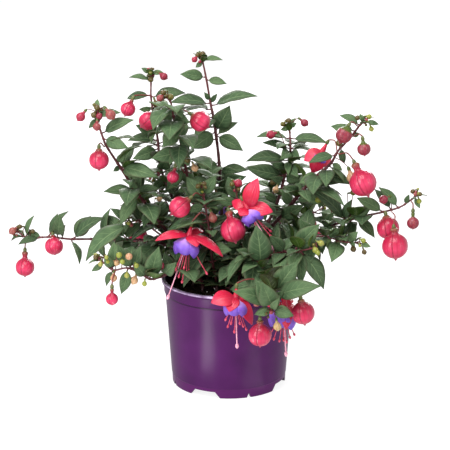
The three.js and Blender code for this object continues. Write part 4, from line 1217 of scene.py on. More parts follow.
@dataclass(frozen=True)
class TurnedShape:
    """A shape turned on an axis: (distance, radius) stations in radii, how deep its four seams are, how lumpy it is."""

    stations: Pairs
    sides: int
    seam: float = 0.0
    lumps: float = 0.0

    def add_to(self, skin: Skin, centre: np.ndarray, axis: np.ndarray, scale: float, tone: float,
               slot: int = 0) -> None:
        """Add one copy.

        Args:
            skin: what it is added to.
            centre: the place of its distance 0.
            axis: the way that its distances run.
            scale: its radius in millimetres where a station says 1.
            tone: its tone.
            slot: its material slot.
        """
        side = unit(np.cross(axis, (0.31, 0.95, 0.05)))
        across = np.cross(axis, side)
        turns = np.arange(self.sides) / self.sides * 2 * math.pi
        groove = 1 - self.seam * np.abs(np.cos(2 * turns)) ** 6
        rows = []
        for distance, radius in self.stations:
            lump = groove + self.lumps * np.sin(3 * turns + 4 * distance + scale) * np.sin(2.3 * distance + scale)
            rows.append(centre + scale * (distance * axis + radius * lump[:, None] * (np.cos(turns)[:, None] * side
                        + np.sin(turns)[:, None] * across)))
        reach = np.array([distance for distance, _ in self.stations])
        skin.add_rings(np.array(rows), (reach - reach[0]) / (reach[-1] - reach[0]), tone, slot)


YOUNG_BUD_SHAPE = TurnedShape((
    (-2.2, 0.14), (-2.05, 0.27), (-1.7, 0.35), (-1.35, 0.3), (-1.05, 0.36), (-0.8, 0.66), (-0.42, 0.93), (0.0, 1.02),
    (0.42, 0.9), (0.74, 0.6), (0.92, 0.3), (1.04, 0.1), (1.12, 0.03)), sides=9)
LEAF_JOINT = TurnedShape(((-1.6, 0.5), (-0.7, 0.92), (0.3, 1.0), (1.2, 0.5)), sides=8)
BUD_OVARY = TurnedShape(((-0.1, 0.13), (0.0, 0.22), (0.3, 0.38), (0.6, 0.43), (0.85, 0.35), (1.02, 0.28)), sides=12)
BLOOM_OVARY = TurnedShape(((-0.05, 0.1), (0.0, 0.17), (0.3, 0.33), (0.6, 0.36), (0.85, 0.28), (1.04, 0.24)), sides=12)
THREAD_KNOB = TurnedShape(((-1.5, 0.3), (-1.0, 0.75), (0.0, 1.0), (1.0, 0.7), (1.5, 0.2)), sides=10)


def add_stalk(skin: Skin, places: Sequence[Row], top: np.ndarray) -> None:
    """Add the thin stalk that a bud or a bloom hangs on, in slot 1.

    Args:
        skin: what it is added to.
        places: the places that it runs through.
        top: where it ends, at the top of the ovary.
    """
    line = smooth_line(np.array((*places, top)), 5)
    add_rod(skin, line, np.linspace(0.55, 0.7, len(line)), 0.5, 7, slot=1)


@dataclass
class HangingBud:
    """A ripe bud on its thin stalk: ovary, short neck, and a taut round body with a point."""

    name: str
    stalk: Sequence[Row]
    neck: Row
    body: Row
    size: float
    stage: str = "pink"
    ovary: float = 4.5
    seam: float = 0.05
    clearance: float = 4.0
    outline: Pairs = (
        (-1.16, 0.25), (-1.02, 0.29), (-0.93, 0.4), (-0.82, 0.57), (-0.66, 0.76), (-0.44, 0.92), (-0.18, 1.0),
        (0.1, 1.01), (0.36, 0.96), (0.58, 0.84), (0.76, 0.66), (0.87, 0.47), (0.94, 0.28), (0.98, 0.15),
        (1.05, 0.1), (1.12, 0.06), (1.16, 0.02),
    )

    def take_room(self, room: Room) -> None:
        """Keep leaves off the bud and out of its sight.

        Args:
            room: the places that are taken.
        """
        neck, body = np.array(self.neck), np.array(self.body)
        room.take_view(body, self.size / 2 + self.clearance)
        room.take(np.array([neck, (neck + body) / 2, *self.stalk]), LEAF_REACH)

    def build(self, materials: Palette) -> Piece:
        """Model the bud and its stalk.

        Args:
            materials: the finished materials.

        Returns:
            The bud.
        """
        neck, body = np.array(self.neck), np.array(self.body)
        drop = float(np.linalg.norm(body - neck))
        axis = (body - neck) / drop
        skin = Skin()
        half = self.size / 2
        top = neck - axis * self.ovary
        add_stalk(skin, self.stalk, top)
        BUD_OVARY.add_to(skin, top, axis, self.ovary, 0.5, slot=2)
        d = drop / half
        stations = [(-0.06 * d, 0.2), (0.0, 0.29), (max(d - 1.35, 0.1) * 0.5, 0.34)]
        stations += [(d + u, r) for u, r in self.outline if d + u > 0.06]
        body_shape = TurnedShape(tuple(sorted(stations)), 32, self.seam, lumps=0.004 * max(half - 8.5, 0.5))
        body_shape.add_to(skin, neck, axis, half, Stage[self.stage.upper()].value)
        skin_finish = materials.bud if self.stage == "pink" else materials.young_bud
        return skin.build(f"fine_{self.name}", (skin_finish, materials.stalk, materials.ovary))


@dataclass
class Bloom:
    """An open flower: ovary, red tube, four swept-back sepals, stamens and the long style, and its corolla."""

    name: str
    stalk: Sequence[Row]
    mouth: Row
    aim: Row
    reach: float
    show: float
    sepals: Sequence[Row]
    stamens: Sequence[Row]
    style: Row
    tube: float = 9.0
    tube_radius: float = 3.0
    ovary: float = 5.0
    cup: float = 20.0
    seam: float = 0.05
    petals: int = 4
    span: float = 2.5
    petal_thickness: float = 0.45
    petal_levels: tuple[float, ...] = (0.0, 0.1, 0.25, 0.45, 0.65, 0.85, 1.0)
    petal_radii: tuple[float, ...] = (2.3, 5.4, 9.4, 12.2, 12.6, 11.0, 8.8)

    def axis(self) -> np.ndarray:
        """Return the way that the flower hangs."""
        return unit(np.array(self.aim) - np.array(self.mouth))

    def take_room(self, room: Room) -> None:
        """Keep leaves off the flower and out of its sight.

        Args:
            room: the places that are taken.
        """
        mouth, axis = np.array(self.mouth), self.axis()
        room.take_view(mouth + axis * self.cup * self.reach * 0.55, 12 * self.reach)
        for x, y, z, width in self.sepals:
            room.take_view(mouth + np.outer((0.35, 0.7, 1.0), np.array((x, y, z)) - mouth), width * 0.45)
        ends = (self.style, *self.stamens, *self.stalk)
        room.take(np.array([mouth - axis * 5, mouth - axis * 12, *ends]), LEAF_REACH)

    def build(self, pattern: Pattern, materials: Palette) -> Piece:
        """Model the red parts and the threads.

        Args:
            pattern: the grid that sepals are bent from.
            materials: the finished materials.

        Returns:
            The bloom without its corolla.
        """
        draw = random.Random(self.name)
        mouth, axis = np.array(self.mouth), self.axis()
        outward = np.array((0.0, -1.0, 0.3)) * self.show
        top = mouth - axis * (self.tube + self.ovary)
        skin, blades = Skin(), Skin()
        add_stalk(skin, self.stalk, top)
        BLOOM_OVARY.add_to(skin, top, axis, self.ovary, 0.5, slot=2)
        long, r = self.tube, self.tube_radius
        tube = ((-long, 1.3), (-long * 0.7, 1.7), (-long * 0.4, 0.82 * r), (-1.6, 0.98 * r), (0.2, 1.12 * r),
                (0.9, 0.8 * r))
        TurnedShape(tube, 20, self.seam).add_to(skin, mouth, axis, 1.0, 0.5)
        for x, y, z, width in self.sepals:
            tip = np.array((x, y, z))
            away = tip - mouth
            spread = unit(away - axis * away.dot(axis))
            start, facing = mouth - axis * 1.2 + spread, spread * 0.35 - axis + outward
            SEPAL_FORM.add_to(blades, pattern, start, tip, facing, width, 0.5, draw)
        for i, end in enumerate((self.style, *self.stamens)):
            tip, turn = np.array(end), i * GOLDEN_TURN
            side = unit(np.cross(axis, (0.2, 0.9, 0.3)))
            start = mouth - axis + 1.1 * (side * math.cos(turn) + np.cross(axis, side) * math.sin(turn)) * (i > 0)
            bend = (start + tip) / 2 + axis * 0.06 * np.linalg.norm(tip - start)
            line = smooth_line(np.array((start, bend, tip)), 8)
            thread = 3 if i else 4
            add_rod(skin, line, np.full(len(line), 0.42 if i else 0.6), 0.5, 6, slot=thread)
            THREAD_KNOB.add_to(skin, tip, unit(tip - bend), 1.2 if i else 1.7, 0.5, slot=thread)
        petals = blades.build("sepals", (materials.sepal,))
        apply_modifier(petals, "SOLIDIFY", thickness=SEPAL_FORM.thickness * MM, offset=0)
        apply_modifier(petals, "SUBSURF", levels=1, render_levels=1)
        rest = skin.build("threads", (materials.sepal, materials.stalk, materials.ovary, materials.filament,
                                      materials.style))
        return joined(f"fine_bloom_{self.name}", (rest, petals))

    def corolla(self, pattern: Pattern, materials: Palette) -> Piece:
        """Model the cup of overlapping petals.

        Args:
            pattern: the grid that petals are bent from.
            materials: the finished materials.

        Returns:
            The corolla.
        """
        mouth, axis = np.array(self.mouth), self.axis()
        side = unit(np.cross(axis, (0.15, 0.97, 0.1)))
        across = np.cross(axis, side)
        skin = Skin()
        t, s = pattern.along, pattern.aside
        for i in range(self.petals):
            turn = i / self.petals * 2 * math.pi + s * self.span / 2
            edge = 1 - 0.36 * np.abs(s) ** 2.0 * np.clip(t * 2 - 0.7, 0, 1) - 0.13 * (i % 2)
            depth = t * self.cup * self.reach * edge
            wide = np.interp(t, self.petal_levels, self.petal_radii)
            lap = s * 1.1 * np.clip(t * 3, 0, 1) + 0.5 * t * np.cos(s * math.pi / 2)
            radius = wide * (0.25 + 0.75 * self.reach) + (lap + 0.25 * t * np.sin(s * 3 + i * 1.7))
            points = (mouth + np.outer(0.6 + depth, axis) + np.outer(radius * np.cos(turn), side)
                      + np.outer(radius * np.sin(turn), across))
            skin.add(points, pattern.faces, pattern.uvs, i / self.petals)
        cup = skin.build(f"fine_corolla_{self.name}", (materials.petal,))
        apply_modifier(cup, "SOLIDIFY", thickness=self.petal_thickness * MM, offset=0)
        apply_modifier(cup, "SUBSURF", levels=1, render_levels=1)
        return cup


@dataclass
class NurseryPot:
    """A moulded pot: rolled lip, shallow collar, tapered wall and four feet with notches between them."""

    height: float = 105.5
    rim_radius: float = 66.0
    lip_height: float = 3.0
    wall_top: float = 63.8
    collar_depth: float = 12.5
    collar_step: float = 0.9
    base_radius: float = 56.0
    wall: float = 1.6
    floor_level: float = 6.5
    floor_thickness: float = 1.8
    foot_width: float = 3.2
    step_height: float = 9.0
    first_foot: float = 20.0
    notch_height: float = 6.0
    notch_half: float = 16.0
    notch_slope: float = 5.0
    vee_height: float = 4.6
    vee_half: float = 2.9
    feet: int = 4
    sides: int = 120
    sharp_from: float = 28.0

    def profile(self) -> list[tuple[float, float]]:
        """Lay out the section, from the middle of the floor round and back to it.

        Returns:
            The closed section as (radius, height).
        """
        collar, lip, top = self.height - self.collar_depth, self.height - self.lip_height, self.height
        under, floor = self.floor_level, self.floor_level + self.floor_thickness
        base, wall, rim, step = self.base_radius, self.wall_top, self.rim_radius, self.step_height
        tucked, inside = wall - self.collar_step, wall - self.wall
        return [
            (0, under), (base - self.foot_width, under), (base - self.foot_width, 0), (base, 0),
            (base + 0.35, step), (base + 0.75, step + 0.6), (tucked - 0.45, collar - 1.2), (tucked - 0.3, collar - 0.6),
            (wall - 0.3, collar), (wall, lip - 0.8), (wall + 0.3, lip), (rim - 0.3, lip), (rim, lip + 0.5),
            (rim, top - 0.6), (rim - 0.6, top), (inside + 0.5, top), (inside, top - 0.6), (inside - 0.8, collar),
            (base - self.wall + 0.7, floor + 1), (base - self.wall - 0.5, floor), (0, floor),
        ]

    def cutter(self, outline: Sequence[tuple[float, float]], degrees: float) -> Piece:
        """Extrude an outline across the foot ring.

        Args:
            outline: its corners as (sideways, height).
            degrees: the angle from the front at which it cuts.

        Returns:
            The cutting tool.
        """
        near, far = -(self.base_radius - self.foot_width - 3), -(self.base_radius + 5)
        mesh = bpy.data.meshes.new("cutter")
        count = len(outline)
        points = [(x * MM, y * MM, z * MM) for y in (near, far) for x, z in outline]
        faces = [tuple(range(count)), tuple(range(2 * count - 1, count - 1, -1))]
        faces += [(i, count + i, count + (i + 1) % count, (i + 1) % count) for i in range(count)]
        mesh.from_pydata(points, [], faces)
        mesh.transform(Matrix.Rotation(math.radians(degrees), 4, "Z"))
        tool = bpy.data.objects.new("cutter", mesh)
        bpy.context.collection.objects.link(tool)
        select_only(tool)
        self.tidy_mesh()
        return tool

    @staticmethod
    def tidy_mesh(**spin: object) -> None:
        """Weld the active mesh and turn its faces outwards.

        Args:
            spin: how it is spun first, when it is.
        """
        bpy.ops.object.mode_set(mode="EDIT")
        bpy.ops.mesh.select_all(action="SELECT")
        if spin:
            bpy.ops.mesh.spin(**spin)
            bpy.ops.mesh.select_all(action="SELECT")
        bpy.ops.mesh.remove_doubles(threshold=0.01 * MM)
        bpy.ops.mesh.normals_make_consistent(inside=False)
        bpy.ops.object.mode_set(mode="OBJECT")

    def build(self, centre: Vector, materials: Palette) -> Piece:
        """Spin the section, cut the notches and vees, soften the edges and set the pot at its place.

        Args:
            centre: the pot's axis on the ground, in metres.
            materials: the finished materials.

        Returns:
            The pot.
        """
        section = self.profile()
        mesh = bpy.data.meshes.new("fine_pot")
        mesh.from_pydata([(0, -r * MM, z * MM) for r, z in section], [(i, i + 1) for i in range(len(section) - 1)], [])
        pot = bpy.data.objects.new("fine_pot", mesh)
        bpy.context.collection.objects.link(pot)
        select_only(pot)
        self.tidy_mesh(steps=self.sides, angle=2 * math.pi, center=(0, 0, 0), axis=(0, 0, 1))
        halves = (self.notch_half, self.notch_half - self.notch_slope, self.vee_half)
        wide, narrow, vee = (self.base_radius * math.sin(math.radians(half)) for half in halves)
        notch = ((-wide, -2), (wide, -2), (wide, 0), (narrow, self.notch_height), (-narrow, self.notch_height),
                 (-wide, 0))
        corner = ((-vee, -2), (vee, -2), (0, self.vee_height))
        for i in range(self.feet):
            foot = self.first_foot + 360 / self.feet * i
            for outline, degrees in ((notch, foot + 180 / self.feet), (corner, foot)):
                tool = self.cutter(outline, degrees)
                apply_modifier(pot, "BOOLEAN", operation="DIFFERENCE", object=tool, solver="EXACT")
                bpy.data.objects.remove(tool)
        select_only(pot)
        bpy.ops.object.shade_smooth_by_angle(angle=math.radians(self.sharp_from))
        pot.data.transform(Matrix.Translation(centre))
        pot.data.materials.clear()
        pot.data.materials.append(materials.pot)
        return pot


@dataclass
class Compost:
    """Potting compost just under the rim: an uneven crumbly top with bark crumbs and a few white perlite grains."""

    level: float = 97.0
    crown: float = 1.4
    radius: float = 61.0
    base_radius: float = 54.0
    bottom: float = 9.0
    crumbs: int = 420
    grains: int = 26
    rings: int = 34
    sides: int = 110

    def height(self, x: float, y: float) -> float:
        """Find how high the top is.

        Args:
            x: the place sideways from the pot's axis, in millimetres.
            y: the place backwards from it.

        Returns:
            The height in millimetres.
        """
        lumps = math.sin(x * 0.31 + 1.3) * math.sin(y * 0.27 + 0.4) + 0.6 * math.sin(x * 0.73 + y * 0.51)
        return self.level + self.crown - math.hypot(x, y) / 40 + 0.9 * lumps

    def build(self, centre: Vector, materials: Palette) -> Piece:
        """Model the compost with its crumbs and perlite.

        Args:
            centre: the pot's axis on the ground, in metres.
            materials: the finished materials.

        Returns:
            The compost.
        """
        draw = random.Random("compost")
        skin = Skin()
        shift = np.array((centre.x, centre.y, 0)) / MM
        points, n = [], self.sides
        turns = np.arange(n) / n * 2 * math.pi
        radii = [self.radius * (i + 1) / self.rings for i in range(self.rings)]
        for r in radii:
            for a in turns:
                x, y = r * math.cos(a), r * math.sin(a)
                points.append((x, y, self.height(x, y) + draw.uniform(-0.5, 0.5) * (r < self.radius - 1)))
        points += [(self.base_radius * math.cos(a), self.base_radius * math.sin(a), self.bottom) for a in turns]
        middle = len(points)
        points += [(0, 0, self.height(0, 0)), (0, 0, self.bottom)]
        faces = [(r * n + s, (r + 1) * n + s, (r + 1) * n + (s + 1) % n, r * n + (s + 1) % n)
                 for r in range(len(radii)) for s in range(n)]
        faces += [(middle, s, (s + 1) % n) for s in range(n)]
        faces += [(middle + 1, len(radii) * n + (s + 1) % n, len(radii) * n + s) for s in range(n)]
        skin.add(np.array(points) + shift, faces, np.zeros((len(points), 2)), 0.5)
        bpy.ops.object.select_all(action="DESELECT")
        bpy.ops.mesh.primitive_ico_sphere_add(subdivisions=1, radius=1)
        pebble = bpy.context.object
        shape = np.array([v.co for v in pebble.data.vertices])
        sides = [tuple(p.vertices) for p in pebble.data.polygons]
        bpy.data.objects.remove(pebble)
        for i in range(self.crumbs + self.grains):
            r, a = (self.radius - 2.5) * math.sqrt(draw.random()), draw.uniform(0, 2 * math.pi)
            x, y = r * math.cos(a), r * math.sin(a)
            white = i >= self.crumbs
            size = draw.uniform(0.7, 1.5) if white else draw.uniform(0.5, 1.9)
            stretch = np.array([draw.uniform(0.6, 1.3) for _ in range(3)]) * size
            turn = np.array(Euler([draw.uniform(0, 6.28) for _ in range(3)]).to_matrix())
            rough = shape * (1 + 0.22 * np.array([[draw.uniform(-1, 1)] for _ in shape]))
            crumb = (rough * stretch) @ turn.T + np.array((x, y, self.height(x, y) + size * 0.35)) + shift
            skin.add(crumb, sides, np.zeros((len(shape), 2)), 0.5, slot=int(white))
        return skin.build("fine_soil", (materials.compost, materials.perlite))


@dataclass
class Studio:
    """The photographer's set: a pale floor, soft light all round, soft boxes and low cards, and the camera."""

    eye: tuple[float, float, float] = EYE
    aim: tuple[float, float, float] = (-3.88, 0.0, 158.0)
    lens: float = 124.34
    sensor: float = 36.0
    sky: float = 0.6
    floor_colour: str = "#8c8c8c"
    floor_glow: float = 0.85
    aim_height: float = 150.0
    # Soft boxes that look at the plant: place, width, watts, and height as a share of the width.
    lamps: tuple[tuple[str, tuple[float, float, float], float, float, float], ...] = (
        ("left_strip", (-1080.0, -1200.0, 700.0), 420.0, 18.4, 3.0),
        ("right_strip", (1250.0, -980.0, 700.0), 380.0, 5.4, 3.0),
        ("top_box", (-250.0, -500.0, 1500.0), 900.0, 19.6, 1.0),
        ("back_panel", (0.0, 1500.0, 620.0), 1700.0, 23.5, 0.25),
    )
    # Flat lights on the floor that the pot's wall mirrors: where each starts and ends, its width, its watts.
    cards: tuple[tuple[str, tuple[float, float], tuple[float, float], float, float], ...] = (
        ("left_card", (-54.0, -94.0), (-165.0, -215.0), 42.0, 0.14),
        ("right_card", (34.0, -62.0), (185.0, -182.0), 42.0, 0.025),
    )

    def set_up(self, centre: Vector) -> None:
        """Place the camera, the lights and the floor.

        Args:
            centre: the pot's axis on the ground, in metres.
        """
        scene = bpy.context.scene
        scene.view_settings.view_transform = "Standard"
        scene.view_settings.look = "None"
        eye, aim = (centre + Vector(place) * MM for place in (self.eye, self.aim))
        lens = bpy.data.cameras.new("camera")
        lens.lens, lens.sensor_width, lens.clip_end = self.lens, self.sensor, 100
        camera = bpy.data.objects.new("camera", lens)
        camera.location = eye
        camera.rotation_euler = (aim - eye).to_track_quat("-Z", "Y").to_euler()
        bpy.context.collection.objects.link(camera)
        scene.camera = camera
        world = bpy.data.worlds.new("studio_air")
        world.use_nodes = True
        air = world.node_tree.nodes["Background"]
        air.inputs["Color"].default_value = linear("#ffffff")
        air.inputs["Strength"].default_value = self.sky
        scene.world = world
        for name, place, size, power, tall in self.lamps:
            turn = (Vector((0, 0, self.aim_height)) - Vector(place)).to_track_quat("-Z", "Y").to_euler()
            self.add_light(name, centre + Vector(place) * MM, turn, (size, size * tall), power)
        for name, start, end, width, power in self.cards:
            run, middle = Vector(end) - Vector(start), (Vector(start) + Vector(end)) / 2
            turn = Euler((math.pi, 0, math.atan2(run.y, run.x)))
            self.add_light(name, centre + Vector((*middle, 0.5)) * MM, turn, (run.length, width), power)
        bpy.ops.object.select_all(action="DESELECT")
        bpy.ops.mesh.primitive_plane_add(size=70, location=centre - Vector((0, 0, 0.5)) * MM)
        floor = bpy.context.object
        floor.name = "studio_floor"
        floor.visible_glossy = False
        paper = bpy.data.materials.new("white_paper_floor")
        paper.use_nodes = True
        shader = paper.node_tree.nodes["Principled BSDF"]
        shader.inputs["Base Color"].default_value = linear(self.floor_colour)
        shader.inputs["Roughness"].default_value = 0.8
        shader.inputs["Specular IOR Level"].default_value = 0.0
        shader.inputs["Emission Color"].default_value = linear("#ffffff")
        shader.inputs["Emission Strength"].default_value = self.floor_glow
        floor.data.materials.append(paper)

    @staticmethod
    def add_light(name: str, place: Vector, turn: Euler, sides: tuple[float, float], power: float) -> None:
        """Add a rectangular light.

        Args:
            name: its name.
            place: its middle, in metres.
            turn: its rotation; it shines down its own Z.
            sides: its width and height in millimetres.
            power: its watts.
        """
        light = bpy.data.lights.new(name, "AREA")
        light.shape, light.size, light.size_y, light.energy = "RECTANGLE", sides[0] * MM, sides[1] * MM, power
        lamp = bpy.data.objects.new(name, light)
        lamp.location, lamp.rotation_euler = place, turn
        bpy.context.collection.objects.link(lamp)


